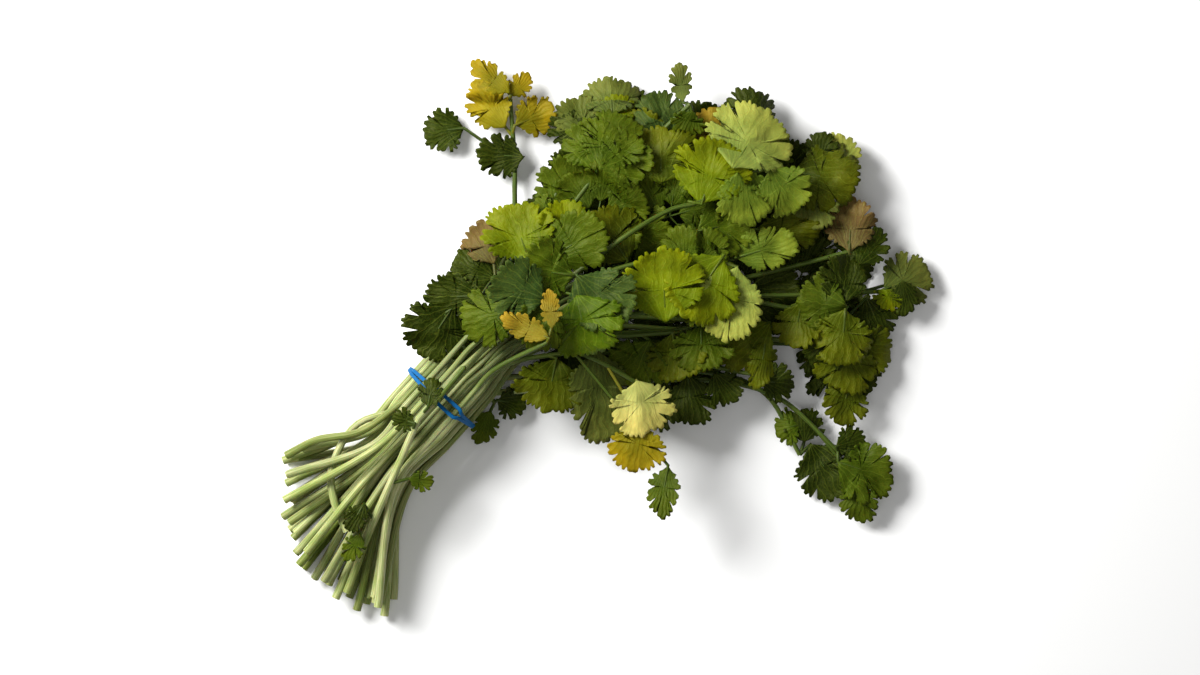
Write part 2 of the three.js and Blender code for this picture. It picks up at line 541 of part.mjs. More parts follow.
// Lays one leafy stem on the heap and returns its solid.
function layLeafyStem(stem) {
  const points = stemPoints(stem);
  const leaves = stem.leaves;
  const count = points.length;
  const radii = points.map((_, k) => STEM_RADIUS + (STEM_TIP_RADIUS - STEM_RADIUS) * k / (count - 1));
  const heights = points.map((_, k) => {
    const along = k / (count - 1);
    return radii[k] + stem.rise * Math.max(0, along * 2 - 1);
  });
  const shares = points.map((_, k) => [[k, 1]]);

  // The stalks settle with the stem, so that they stay joined to it.
  const stalks = leaves.map((leaflet, index) => {
    const base = [leaflet[1], leaflet[2]];
    const start = branch(points, base);
    const end = count + index;
    heights.push(0);
    return { plan: [start.point, base], shares: [start.shares, [[end, 1]]], end };
  });
  const stemCover = rodSpots(points, radii, shares);
  const stalkRadii = [STALK_RADIUS, STALK_RADIUS];
  const stalkCovers = stalks.map((stalk) => rodSpots(stalk.plan, stalkRadii, stalk.shares));
  const cover = [...stemCover, ...stalkCovers.flat()];
  settle(cover, heights);
  stiffen(heights, count);
  for (const stalk of stalks) {
    const start = spotHeight({ shares: stalk.shares[0] }, heights);
    heights[stalk.end] = Math.max(heights[stalk.end], start - stem.droop);
  }
  settle(cover, heights);
  addToHeap(stemCover, heights);

  const middles = points.map(([x, y], k) => new THREE.Vector3(x, y, heights[k]));
  const solids = [bentRod(middles, radii, STEM_SIDES)];
  leaves.forEach((leaflet, index) => {
    const stalk = stalks[index];
    const shape = outline(leaflet);
    const spots = bladeSpots(shape.joint, shape.rim);
    const blades = freeHeights(leaflet, shape, heights[stalk.end], stem.slackness);
    settle(spots, blades);
    blades.forEach((height, k) => { blades[k] = Math.max(height, BLADE_THICKNESS / 2); });
    const root = Math.max(blades[1], heights[stalk.end]);
    blades[1] = root;
    heights[stalk.end] = root;
    addToHeap(spots, blades);
    addToHeap(stalkCovers[index], heights);
    solids.push(blade(shape.joint, shape.rim, blades));
    const start = spotHeight({ shares: stalk.shares[0] }, heights);
    const sunk = root + (blades[0] - root) * STALK_END / VEIN_JOINT;
    const rings = [[...stalk.plan[0], start], [...stalk.plan[1], root], [...shape.stalkEnd, sunk]];
    const ringRadii = [STALK_RADIUS, STALK_RADIUS, STALK_END_RADIUS];
    const shortest = Math.hypot(rings[1][0] - rings[0][0], rings[1][1] - rings[0][1]);
    if (shortest < LEAST_STALK) {
      rings.splice(1, 1);
      ringRadii.splice(1, 1);
    }
    solids.push(bentRod(rings.map((ring) => new THREE.Vector3(...ring)), ringRadii, STALK_SIDES));
  });
  const joined = withoutCrumbs(solids.reduce((whole, solid) => whole.add(solid)));
  return { joined, points, heights, radii };
}

// ---------------------------------------------------------------- the bundle
// Stems are laid row by row. In a row, the stem whose leaves are furthest left goes furthest left.
const group = new THREE.Group();
const laid = [];

function addPart(name, solid, colour, roughness) {
  const material = new THREE.MeshStandardMaterial({ color: colour, roughness, metalness: 0 });
  const mesh = new THREE.Mesh(toGeometry(solid), material);
  mesh.name = name;
  group.add(mesh);
}

// The stems clear the part of the band that runs underneath them.
const stripReach = Math.hypot(BAND_HALF_LENGTH, BAND_HALF_REACH);
eachCell(-stripReach, -stripReach, stripReach, stripReach, (x, y, cell) => {
  const along = axisX * x + axisY * y;
  const across = axisY * x - axisX * y;
  if (Math.abs(along) < BAND_HALF_LENGTH && Math.abs(across) < BAND_HALF_REACH) {
    heap[cell] = BAND_THICKNESS + HALF_GAP;
  }
});

let taken = 0;
BUNDLE_ROWS.forEach((size, row) => {
  const members = leafyStems.slice(taken, taken + size);
  const bearing = (stem) => {
    const [x, y] = stem.up?.[0] ?? stem.tip;
    return Math.atan2(y, x);
  };
  const ordered = [...members].sort((a, b) => bearing(b) - bearing(a));
  ordered.forEach((stem, place) => {
    stem.across = (place - (size - 1) / 2) * STEM_PITCH;
    const [left, right] = CUT_BEARINGS;
    const turn = left + (right - left) * (place + draw(CUT_PLACE)) / size;
    const short = Math.max(0, FULL_LENGTH_FROM - turn) / (FULL_LENGTH_FROM - left);
    const length = CUT_LENGTH * (1 - LEFT_SHORTER * short ** 2) - draw([0, CUT_SCATTER]);
    const angle = THREE.MathUtils.degToRad(turn);
    stem.sway = draw(CUT_SWAY);
    stem.cut = stem.cut ?? [length * Math.cos(angle), length * Math.sin(angle)];
    stem.rise = TIP_RISE * row;
    stem.droop = DROOP;
    stem.slackness = LEAST_SLACK + MORE_SLACK * row / (BUNDLE_ROWS.length - 1);
  });
  for (const stem of members) {
    const result = layLeafyStem(stem);
    laid.push(result);
    const name = `leafy_stem_${String(laid.length).padStart(2, '0')}`;
    addPart(name, result.joined, TONES[stem.tone], LEAF_ROUGHNESS);
  }
  taken += size;
});

// ---------------------------------------------------------------- the rubber band
// Each stem's place where the band goes round: across the bundle, and up.
function sections() {
  const places = [];
  for (const { points, heights, radii } of laid) {
    const k = points.findIndex(([x, y]) => axisX * x + axisY * y > 0) - 1;
    const from = axisX * points[k][0] + axisY * points[k][1];
    const to = axisX * points[k + 1][0] + axisY * points[k + 1][1];
    for (const along of [-BAND_SPREAD - BAND_WIDTH, BAND_SPREAD + BAND_WIDTH]) {
      const t = (along - from) / (to - from);
      const x = points[k][0] + t * (points[k + 1][0] - points[k][0]);
      const y = points[k][1] + t * (points[k + 1][1] - points[k][1]);
      places.push({ across: axisY * x - axisX * y, up: heights[k] + t * (heights[k + 1] - heights[k]),
        radius: radii[k] });
    }
  }
  return places;
}

// The taut path round the stems: straight lines that each touch the bundle, cut off where they meet.
function bandPath() {
  const places = sections();
  const clear = 2 * HALF_GAP + BAND_THICKNESS / 2;
  const lines = [];
  for (let k = 0; k < BAND_SIDES; k += 1) {
    const angle = -Math.PI / 2 + k * 2 * Math.PI / BAND_SIDES;
    const normal = [Math.cos(angle), Math.sin(angle)];
    const reach = Math.max(...places.map((place) =>
      place.across * normal[0] + place.up * normal[1] + place.radius)) + clear;
    lines.push({ normal, reach: k === 0 ? -BAND_THICKNESS / 2 : reach });
  }
  return lines.map((line, k) => {
    const next = lines[(k + 1) % lines.length];
    const cross = line.normal[0] * next.normal[1] - line.normal[1] * next.normal[0];
    return {
      across: (line.reach * next.normal[1] - next.reach * line.normal[1]) / cross,
      up: (line.normal[0] * next.reach - next.normal[0] * line.reach) / cross,
      angle: -Math.PI / 2 + (k + 0.5) * 2 * Math.PI / BAND_SIDES,
    };
  });
}

// One turn of the band, leaning forward (lean 1) or back (lean -1) over the top.
const BAND_SECTION = [[-0.5, 0], [-0.3, -0.5], [0.3, -0.5], [0.5, 0], [0.3, 0.5], [-0.3, 0.5]];
function bandTurn(path, lean) {
  const rings = path.map((point) => {
    const spread = Math.sin(point.angle) > 0 ? BAND_SPREAD : BAND_UNDER_SPREAD;
    const middle = lean * spread * Math.sin(point.angle);
    return BAND_SECTION.map(([wide, thick]) => {
      const along = middle + wide * BAND_WIDTH;
      const bevel = thick * BAND_THICKNESS / Math.cos(Math.PI / BAND_SIDES);
      const [x, y] = inBundle(along, point.across + bevel * Math.cos(point.angle));
      return [x, y, point.up + bevel * Math.sin(point.angle)];
    });
  });
  const count = BAND_SECTION.length;
  const torus = new THREE.TorusGeometry(undefined, undefined, count, BAND_SIDES);
  const place = torus.attributes.position;
  for (let i = 0; i < place.count; i += 1) {
    const ring = i % (BAND_SIDES + 1) % BAND_SIDES;
    const corner = Math.floor(i / (BAND_SIDES + 1)) % count;
    place.setXYZ(i, ...rings[ring][corner]);
  }
  return toManifold(torus);
}

const path = bandPath();
const bandSolid = bandTurn(path, 1).add(bandTurn(path, -1));
addPart('rubber_band', bandSolid, BAND_COLOUR, BAND_ROUGHNESS);

// ---------------------------------------------------------------- the young sprig, over the band
for (const lean of [-1, 1]) {
  const top = path.filter((point) => Math.sin(point.angle) > 0);
  const plan = top.map((point) => inBundle(lean * BAND_SPREAD * Math.sin(point.angle), point.across));
  const spots = rodSpots(plan, top.map(() => BAND_WIDTH / 2), top.map((_, k) => [[k, 1]]));
  addToHeap(spots, top.map((point) => point.up));
}
addPart('young_sprig', layLeafyStem(youngSprig).joined, TONES[youngSprig.tone], LEAF_ROUGHNESS);

export default group;
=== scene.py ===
from collections import namedtuple
import math

import bmesh
import bpy
import numpy as np
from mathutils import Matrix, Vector


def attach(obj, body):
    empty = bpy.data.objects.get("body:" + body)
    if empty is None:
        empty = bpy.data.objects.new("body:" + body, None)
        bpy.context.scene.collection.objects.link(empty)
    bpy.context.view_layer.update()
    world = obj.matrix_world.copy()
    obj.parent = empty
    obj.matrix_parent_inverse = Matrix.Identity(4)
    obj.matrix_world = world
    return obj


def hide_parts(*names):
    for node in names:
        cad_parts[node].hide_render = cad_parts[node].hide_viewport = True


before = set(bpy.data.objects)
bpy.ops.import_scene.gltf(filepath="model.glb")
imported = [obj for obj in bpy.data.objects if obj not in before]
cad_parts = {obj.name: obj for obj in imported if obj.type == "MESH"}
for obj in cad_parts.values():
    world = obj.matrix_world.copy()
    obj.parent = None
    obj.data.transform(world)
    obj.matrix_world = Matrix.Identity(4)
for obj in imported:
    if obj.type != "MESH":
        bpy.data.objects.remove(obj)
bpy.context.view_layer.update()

# ------------------------------------------------------------------------------------------------
# Leafy stems. Each is one coriander stem with its leaflets on thin stalks: a juicy, ribbed, pale
# stem, cut off flat at one end, and soft lobed leaves with toothed edges. They grew as they are,
# and were gathered by hand, so that each lies on those below it.

MM = 0.001
WHOLE_LEAF = 42
Leaflet = namedtuple("Leaflet", "tone base_x base_y tip_x tip_y width")

# From the lowest to the top, in millimetres from the middle of the band. Each has the place of its tip,
# and its leaflets. One as wide as a WHOLE_LEAF is cut nearly to its middle into five. Way points, where
# a stem has them, lead it from the band to its tip (up) or to its cut end (down).
LEAFY_STEMS = [
    # the broad leaves at the bottom of the heap, all given the dark tone: painted shade under the leaves
    # above
    dict(tip=(74, 98), leaves=[
      ("dark", 74, 98, 83, 141, 46), ("dark", 56, 68, 60, 98, 36)]),
    dict(tip=(168, 24), leaves=[
      ("dark", 174, 28, 188, 2, 34), ("dark", 160, 30, 198, 38, 46)]),
    dict(tip=(112, 100), leaves=[
      ("dark", 112, 100, 121, 134, 46), ("dark", 98, 84, 90, 122, 46),
      ("dark", 98, 74, 122, 84, 30)]),
    dict(tip=(146, 86), leaves=[
      ("dark", 148, 88, 165, 115, 44), ("dark", 128, 72, 140, 112, 46)]),
    dict(tip=(160, 58), leaves=[
      ("dark", 162, 60, 193, 78, 42), ("dark", 146, 50, 186, 54, 46)]),
    dict(tip=(112, 22), leaves=[
      ("dark", 108, 32, 134, 28, 30), ("dark", 94, 26, 116, -8, 42)]),
    dict(tip=(56, 28), leaves=[
      ("dark", 56, 26, 61, -4, 40), ("dark", 34, 50, 2, 56, 34),
      ("dark", 64, 50, 88, 66, 32)]),
    dict(tip=(118, 48), leaves=[
      ("dark", 118, 50, 162, 49, 46), ("dark", 84, 44, 84, 8, 44)]),
    # low leaves at the rim
    dict(tip=(162, -26), up=[(117, 12), (146, 2)], leaves=[
      ("dark", 164, -20, 164, -5, 16), ("green", 162, -12, 151, -15, 15), ("dark", 167, -21, 181, -45, 25)]),
    dict(tip=(179, -24), up=[(120, 8), (152, 0)], leaves=[
      ("green", 188, -38, 189, -56, 17), ("dark", 178, -22, 191, -19, 15),
      ("green", 179, -29, 204, -37, 26)]),
    dict(tip=(110, 10), leaves=[
      ("dark", 102, 7, 93, -13, 22), ("dark", 111, 10, 114, -12, 20), ("dark", 123, 11, 133, -2, 16)]),
    dict(tip=(24, -2), leaves=[
      ("dark", 25, -1, 38, -3, 14), ("green", 22, -6, 17, -21, 11)]),
    dict(tip=(189, 31), leaves=[
      ("dark", 184, 12, 193, 2, 16), ("dark", 192, 45, 200, 27, 19), ("olive", 188, 24, 203, 18, 21)]),
    dict(tip=(145, 10), leaves=[
      ("dark", 144, 8, 159, 6, 17)]),
    dict(tip=(185, 24), leaves=[
      ("olive", 185, 8, 179, -12, 19), ("dark", 177, 29, 167, 14, 20), ("olive", 184, 26, 182, 2, 26)]),
    dict(tip=(31, 135), up=[(30, 66), (33, 98)], leaves=[
      ("dark", 10, 122, -8, 120, 18), ("dark", 37, 109, 16, 110, 18), ("yellow", 29, 122, 14, 143, 17),
      ("yellow", 33, 123, 51, 131, 17), ("yellow", 31, 137, 13, 151, 11), ("yellow", 31, 136, 40, 146, 9)]),
    # the crown and the outer edge
    dict(tip=(77, 129), leaves=[
      ("dark", 61, 114, 53, 129, 16), ("grey", 68, 116, 58, 135, 23), ("lime", 81, 122, 78, 137, 16),
      ("grey", 77, 127, 76, 145, 26)]),
    dict(tip=(198, 48), leaves=[
      ("dark", 208, 53, 210, 37, 11), ("lime", 203, 49, 200, 40, 12), ("grey", 200, 49, 220, 58, 22)]),
    dict(tip=(102, 116), leaves=[
      ("olive", 90, 112, 91, 131, 19), ("blue", 102, 116, 95, 138, 21), ("blue", 105, 117, 112, 131, 17)]),
    dict(tip=(139, 121), leaves=[
      ("green", 132, 104, 157, 115, 42), ("dark", 139, 122, 140, 140, 21)]),
    dict(tip=(124, 111), leaves=[
      ("tan", 117, 110, 117, 127, 14), ("gold", 124, 110, 122, 131, 20)]),
    dict(tip=(112, 132), leaves=[
      ("green", 113, 129, 109, 118, 15), ("grey", 109, 133, 107, 151, 9)]),
    dict(tip=(184, 66), leaves=[
      ("dark", 188, 60, 197, 77, 17), ("brown", 184, 65, 185, 91, 22)]),
    dict(tip=(180, 102), leaves=[
      ("dark", 170, 106, 172, 120, 14), ("pale", 179, 100, 181, 119, 18)]),
    dict(tip=(159, 102), leaves=[
      ("grey", 165, 96, 170, 76, 21), ("olive", 158, 102, 188, 97, 30)]),
    dict(tip=(146, 33), leaves=[
      ("olive", 148, 34, 124, 16, 25), ("olive", 146, 27, 143, 4, 12)]),
    # painted shade: this stem's leaflets lie at the right of the heap, away from the light, and have darker
    # tones than their own green
    dict(tip=(182, 40), up=[(60, 50), (138, 44), (161, 40)], leaves=[
      ("green", 183, 41, 160, 44, 24), ("olive", 182, 40, 180, 15, 25), ("olive", 162, 43, 159, 22, 20),
      ("dark", 181, 42, 182, 64, 20)]),
    dict(tip=(135, 64), leaves=[
      ("olive", 141, 76, 170, 74, 17), ("light", 132, 63, 160, 71, 18)]),
    dict(tip=(52, 92), leaves=[
      ("dark", 58, 101, 55, 112, 16), ("green", 56, 80, 62, 109, 30), ("green", 50, 82, 40, 87, 13)]),
    # the leaves that lie open on top of the heap, the furthest first
    dict(tip=(108, 30), leaves=[
      ("green", 94, 26, 84, 6, 26), ("olive", 104, 29, 108, 8, 24), ("green", 117, 33, 117, 12, 26)]),
    dict(tip=(99, 96), leaves=[
      ("green", 90, 78, 124, 88, 42), ("olive", 99, 97, 99, 122, 40),
      ("green", 80, 76, 102, 68, 27)]),
    dict(tip=(70, 101), leaves=[
      ("green", 58, 80, 92, 90, 42), ("green", 71, 103, 94, 112, 24), ("green", 70, 102, 65, 125, 25),
      ("green", 72, 103, 82, 127, 28)]),
    dict(tip=(117, 75), leaves=[
      ("green", 100, 58, 132, 52, 42), ("green", 115, 75, 139, 80, 27),
      ("olive", 84, 62, 68, 84, 28)]),
    dict(tip=(132, 104), up=[(62, 57), (102, 84), (118, 89)], leaves=[
      ("light", 148, 103, 160, 84, 24), ("light", 135, 104, 140, 77, 26), ("lime", 117, 87, 127, 116, 31),
      ("pale", 131, 103, 148, 130, 37)]),
    dict(tip=(126, 63), up=[(50, 46), (96, 62)], leaves=[
      ("pale", 133, 59, 127, 25, 28), ("lime", 127, 64, 108, 36, 34)]),
    dict(tip=(100, 40), leaves=[
      ("lime", 101, 34, 99, 68, 34)]),
    dict(tip=(70, 22), leaves=[
      ("olive", 52, 18, 47, -7, 30), ("grey", 70, 23, 74, -20, 27)]),
    # the leaves nearest to the band, which hide the stems of the others
    dict(tip=(17, 48), down=[(-38, -12), (-49, -32), (-48, -46)], cut=(-42, -60), leaves=[
      # painted shade: the second of these leaflets lies in shade at the left and is given the dark tone
      ("dark", 24, 54, 6, 62, 18), ("dark", 18, 46, -8, 45, 20)]),
    dict(tip=(2, 38), down=[(-36, -15), (-56, -19)], cut=(-70, -26), leaves=[
      ("dark", 5, 40, -9, 19, 30)]),
    dict(tip=(88, 7), up=[(40, 26), (68, 18)], leaves=[
      ("green", 102, -30, 98, -53, 13), ("yellow", 90, -11, 86, -33, 24), ("cream", 88, 8, 92, -16, 26)]),
    dict(tip=(48, 63), leaves=[
      ("brown", 24, 60, 17, 80, 20), ("lime", 56, 66, 56, 89, 21), ("green", 48, 62, 74, 78, 27),
      ("lime", 40, 61, 31, 87, 31)]),
    dict(tip=(60, 55), leaves=[
      ("blue", 61, 55, 84, 34, 28), ("green", 60, 55, 36, 58, 31), ("bright", 61, 46, 67, 20, 33)]),
    dict(tip=(47, 44), leaves=[
      ("green", 34, 40, 10, 33, 24), ("green", 50, 41, 40, 22, 21), ("blue", 48, 44, 23, 54, 26)]),
    dict(tip=(48, 25), leaves=[
      ("gold", 50, 31, 49, 49, 8), ("gold", 49, 27, 27, 36, 10)]),
]

# A stem tapers from its cut end to its tip. The stalks of its leaflets leave it at a slant, and those
# within TIP_REACH of its tip go on from there.
STEM_RADIUS, STEM_TIP_RADIUS, STEM_RING_SPACING = 1.9, 1.0, 30
STALK_RADIUS, LEAST_STALK, STALK_LEAN, TIP_REACH = 0.75, 4, 0.8, 7

# How many stems lie side by side in each row, from the lowest up. They are straight on both sides of
# the band, and lead on from there for a share of the way to their ends.
BUNDLE_BEARING, BUNDLE_ROWS, STEM_PITCH, STRAIGHT_HALF = 48, (5, 6, 7, 8, 7, 6, 5), 4.7, 13
LOWER_LEAD, UPPER_LEAD, LONGEST_LEAD, TIP_RISE = 0.35, 0.3, 30, 4

# The cut ends fan out between two bearings. Those at the left are cut shorter, and no two are level.
CUT_BEARINGS, CUT_PLACE, CUT_SWAY = (199, 258), (0.1, 0.9), (-2, 2)
CUT_LENGTH, CUT_SCATTER, FULL_LENGTH_FROM, LEFT_SHORTER = 104, 10, 246, 0.28

# How a leaflet lies where nothing is under it: the higher its stem in the heap, the more slack.
DROOP, LEAST_SLACK, MORE_SLACK = 2, 0.3, 0.6
SLOPES, ROLLS, CUPS = (-0.45, 0.4), (-0.5, 0.5), (-0.35, 0.25)
WAVES, WAVE_TURN, UNEVEN = (0.03, 0.1), 2.4, (0.93, 1.07)

# What is laid keeps two HALF_GAPs clear of what is there already, as if a blade were SOLID_BLADE
# thick and EDGE_MARGIN wider all round.
HALF_GAP, SOLID_BLADE, EDGE_MARGIN = 0.2, 0.8, 0.6

# The lowest stems lie on the part of the band that runs underneath.
BAND_THICKNESS, BAND_HALF_LENGTH, BAND_HALF_REACH = 1.3, 5, 24

# Half of a laid leaflet's outline, from its base round to its tip, for one 1 wide and 1 long. Each
# is for leaflets at least as wide as its first number.
EDGES = [
    (WHOLE_LEAF, [(0.05, 0.28), (0.30, 0.08), (0.50, 0.20), (0.44, 0.33), (0.12, 0.40), (0.46, 0.46),
        (0.52, 0.66), (0.32, 0.72), (0.09, 0.55), (0.22, 0.82)]),
    (24, [(0.14, 0.07), (0.40, 0.22), (0.53, 0.42), (0.40, 0.46), (0.53, 0.64), (0.28, 0.66),
        (0.33, 0.92)]),
    (15, [(0.20, 0.10), (0.48, 0.34), (0.50, 0.60), (0.28, 0.64), (0.28, 0.92)]),
    (0, [(0.30, 0.14), (0.50, 0.42), (0.24, 0.58), (0.26, 0.88)]),
]
VEIN_JOINT = 0.42


class SeededDraws:
    """Park and Miller's random numbers, the same on every run."""
    def __init__(self, seed):
        self.state = seed

    def between(self, low, high):
        self.state = self.state * 16807 % 2147483647
        return low + (high - low) * self.state / 2147483647


laying_draws = SeededDraws(20231)

# The heap is a map of the highest surface laid so far, in cells of half a millimetre. A cover is
# the cells that a piece lies over: how much each of its heights carries there, and how far its
# surface is above and below its middle.
CELL, MAP_X, MAP_Y, COLUMNS, ROWS = 0.5, -95, -115, 660, 560
heap = np.full(COLUMNS * ROWS, -HALF_GAP)


def cells_in(low, high):
    """The middles and the numbers of the cells in a box."""
    columns = np.arange(math.ceil((low[0] - MAP_X) / CELL - 0.5),
        math.floor((high[0] - MAP_X) / CELL - 0.5) + 1)
    rows = np.arange(math.ceil((low[1] - MAP_Y) / CELL - 0.5),
        math.floor((high[1] - MAP_Y) / CELL - 0.5) + 1)
    column, row = np.meshgrid(columns, rows)
    column, row = column.ravel(), row.ravel()
    return MAP_X + (column + 0.5) * CELL, MAP_Y + (row + 0.5) * CELL, row * COLUMNS + column


def joined_cover(covers):
    return tuple(np.concatenate(parts) for parts in zip(*covers))


def rod_cover(points, radii, shares):
    """The cover of a round rod through points, each carried by its own share of the heights."""
    covers = []
    for k in range(len(points) - 1):
        a, b = np.array(points[k]), np.array(points[k + 1])
        way = b - a
        reach = max(radii[k], radii[k + 1]) + HALF_GAP
        x, y, cell = cells_in(np.minimum(a, b) - reach, np.maximum(a, b) + reach)
        along = ((x - a[0]) * way[0] + (y - a[1]) * way[1]) / max(way @ way, 1e-9)
        t = np.clip(along, 0, 1)
        away = np.hypot(x - a[0] - t * way[0], y - a[1] - t * way[1])
        radius = radii[k] + t * (radii[k + 1] - radii[k]) + HALF_GAP
        under = away < radius
        t = t[under][:, None]
        lift = np.sqrt(radius[under] ** 2 - away[under] ** 2)
        covers.append((cell[under], (1 - t) * shares[k] + t * shares[k + 1], lift))
    return joined_cover(covers)


def blade_cover(joint, rim):
    """The cover of a blade: triangles from its vein joint, height 0, to its rim, heights 1 and on."""
    arms = rim - joint
    reach = np.hypot(arms[:, 0], arms[:, 1])[:, None]
    edge = joint + arms * (reach + EDGE_MARGIN) / reach
    covers = []
    count = len(rim)
    for k in range(count):
        after = (k + 1) % count
        a, b = edge[k] - joint, edge[after] - joint
        corners = np.array([joint, edge[k], edge[after]])
        x, y, cell = cells_in(corners.min(0), corners.max(0))
        x, y = x - joint[0], y - joint[1]
        whole = a[0] * b[1] - b[0] * a[1]
        first = (x * b[1] - b[0] * y) / whole
        second = (a[0] * y - x * a[1]) / whole
        under = (first >= 0) & (second >= 0) & (first + second <= 1)
        share = np.zeros((under.sum(), count + 1))
        share[:, 0] = (1 - first - second)[under]
        share[:, k + 1] = first[under]
        share[:, after + 1] = second[under]
        covers.append((cell[under], share, np.full(under.sum(), SOLID_BLADE / 2 + HALF_GAP)))
    return joined_cover(covers)


def settle(cover, heights, easy_steps=20, easy_share=0.2):
    """Raises a piece until it is clear of the heap: by easy steps, then by all that is still wanted."""
    cell, share, lift = cover
    square = (share ** 2).sum(1)
    for step in range(easy_steps + 1):
        part = easy_share if step < easy_steps else 1
        wanted = np.maximum(heap[cell] + lift - share @ heights, 0)
        heights += (part * (wanted / square)[:, None] * share).max(0)


def add_to_heap(cover, heights):
    cell, share, lift = cover
    np.maximum.at(heap, cell, share @ heights + lift)


def stiffen(heights, count, steepest_fall=14, deepest_dip=1.0, steps=20):
    """Keeps a stem from dropping steeply off what it crosses, or bending into a narrow dip."""
    for _ in range(steps):
        for k in range(count):
            before, after = heights[max(k - 1, 0)], heights[min(k + 1, count - 1)]
            heights[k] = max(heights[k], max(before, after) - steepest_fall)
            if 0 < k < count - 1:
                heights[k] = max(heights[k], (before + after) / 2 - deepest_dip)


AXIS_X, AXIS_Y = math.cos(math.radians(BUNDLE_BEARING)), math.sin(math.radians(BUNDLE_BEARING))


def in_bundle(along, across):
    """A place in the bundle: along its axis from the band, and across it, to the right."""
    return (AXIS_X * along + AXIS_Y * across, AXIS_Y * along - AXIS_X * across)


def measured(points):
    """The length of each step of a line, and the length up to each of its points."""
    steps = np.hypot(*np.diff(points, axis=0).T)
    return steps, np.concatenate([[0], np.cumsum(steps)])


def curve_through(way, fine_steps=200):
    """Points of a smooth curve through the way points, and the length up to each."""
    way = np.array(way, float)
    way = np.vstack([2 * way[0] - way[1], way, 2 * way[-1] - way[-2]])
    pieces = len(way) - 3
    points = []
    for step in range(fine_steps + 1):
        place = pieces * step / fine_steps
        first = min(int(place), pieces - 1)
        s = place - first
        p0, p1, p2, p3 = way[first:first + 4]
        gap0, gap1, gap2 = (math.dist(p, q) ** 0.5 for p, q in ((p0, p1), (p1, p2), (p2, p3)))
        out = ((p1 - p0) / gap0 - (p2 - p0) / (gap0 + gap1) + (p2 - p1) / gap1) * gap1
        on = ((p2 - p1) / gap1 - (p3 - p1) / (gap1 + gap2) + (p3 - p2) / gap2) * gap1
        points.append(p1 + out * s + (3 * (p2 - p1) - 2 * out - on) * s ** 2
            + (2 * (p1 - p2) + out + on) * s ** 3)
    points = np.array(points)
    return points, measured(points)[1]


def evenly(way, spacing):
    """Points about one spacing apart on the curve through the way points."""
    points, lengths = curve_through(way)
    count = max(2, math.floor(lengths[-1] / spacing + 0.5))
    at = np.linspace(0, 1, count + 1) * lengths[-1]
    return np.column_stack([np.interp(at, lengths, points[:, 0]), np.interp(at, lengths, points[:, 1])])


def stem_ways(stem):
    """A stem's way points from the band down to its cut end, and from the band up to its tip."""
    across = stem["across"]
    below, above = in_bundle(-STRAIGHT_HALF, across), in_bundle(STRAIGHT_HALF, across)
    lead_down = STRAIGHT_HALF + LOWER_LEAD * math.dist(stem["cut"], below)
    lead_up = STRAIGHT_HALF + min(UPPER_LEAD * math.dist(stem["tip"], above), LONGEST_LEAD)
    down = stem["down"] if "down" in stem else [in_bundle(-lead_down, across + stem["sway"])]
    up = stem.get("up", [in_bundle(lead_up, across)])
    return [below, *down, stem["cut"]], [above, *up, stem["tip"]]


def branch(points, base, size):
    """Where a leaflet's stalk leaves the stem, and how much each height carries it."""
    steps, lengths = measured(points)
    best_away, best_along = math.inf, 0
    for k in range(len(points) - 1):
        way = points[k + 1] - points[k]
        t = min(1, max(0, ((base - points[k]) @ way) / steps[k] ** 2))
        away = math.dist(base, points[k] + t * way)
        if away < best_away:
            best_away, best_along = away, lengths[k] + t * steps[k]
    at_tip = best_along > lengths[-1] - TIP_REACH and best_away < TIP_REACH
    along = lengths[-1] if at_tip else best_along - max(LEAST_STALK, STALK_LEAN * best_away)
    k = 0
    while k + 2 < len(points) and lengths[k + 1] < along:
        k += 1
    t = max(0, (along - lengths[k]) / steps[k])
    share = np.zeros(size)
    share[k], share[k + 1] = 1 - t, t
    return points[k] + t * (points[k + 1] - points[k]), share


def leaflet_plan(leaflet):
    """Turns a place on a leaflet, across by along, into a place on the map."""
    base = np.array([leaflet.base_x, leaflet.base_y])
    way = np.array([leaflet.tip_x - leaflet.base_x, leaflet.tip_y - leaflet.base_y], float)
    side = np.array([way[1], -way[0]]) / math.hypot(*way) * leaflet.width
    return lambda across, along: base + np.multiply.outer(along, way) + np.multiply.outer(across, side)


def coarse_rim(leaflet, to_plan):
    """The rim of a leaflet as it is laid, a little uneven."""
    half = next(points for least, points in EDGES if leaflet.width >= least)
    ring = [(0, 0), *half, (0, 1), *[(-across, along) for across, along in reversed(half)]]
    grown = np.array([1] + [laying_draws.between(*UNEVEN) for _ in ring[1:]])
    across, along = np.array(ring).T
    return to_plan(across * grown, VEIN_JOINT + (along - VEIN_JOINT) * grown)


def free_heights(leaflet, places, root, slackness):
    """The height that each point of a leaflet would take if nothing held it up."""
    slope = laying_draws.between(*SLOPES) * slackness
    roll = laying_draws.between(*ROLLS) * slackness
    cup = laying_draws.between(*CUPS) * slackness
    wave = laying_draws.between(*WAVES) * leaflet.width * slackness
    phase = laying_draws.between(0, 2 * math.pi)
    way_x, way_y = leaflet.tip_x - leaflet.base_x, leaflet.tip_y - leaflet.base_y
    length = math.hypot(way_x, way_y)
    x, y = places[:, 0] - leaflet.base_x, places[:, 1] - leaflet.base_y
    along = (x * way_x + y * way_y) / length
    across = (x * way_y - y * way_x) / length
    ripple = wave * np.sin(phase + np.arange(len(places)) * WAVE_TURN)
    ripple[0] = 0
    return root + slope * along + roll * across + cup * across ** 2 / leaflet.width + ripple


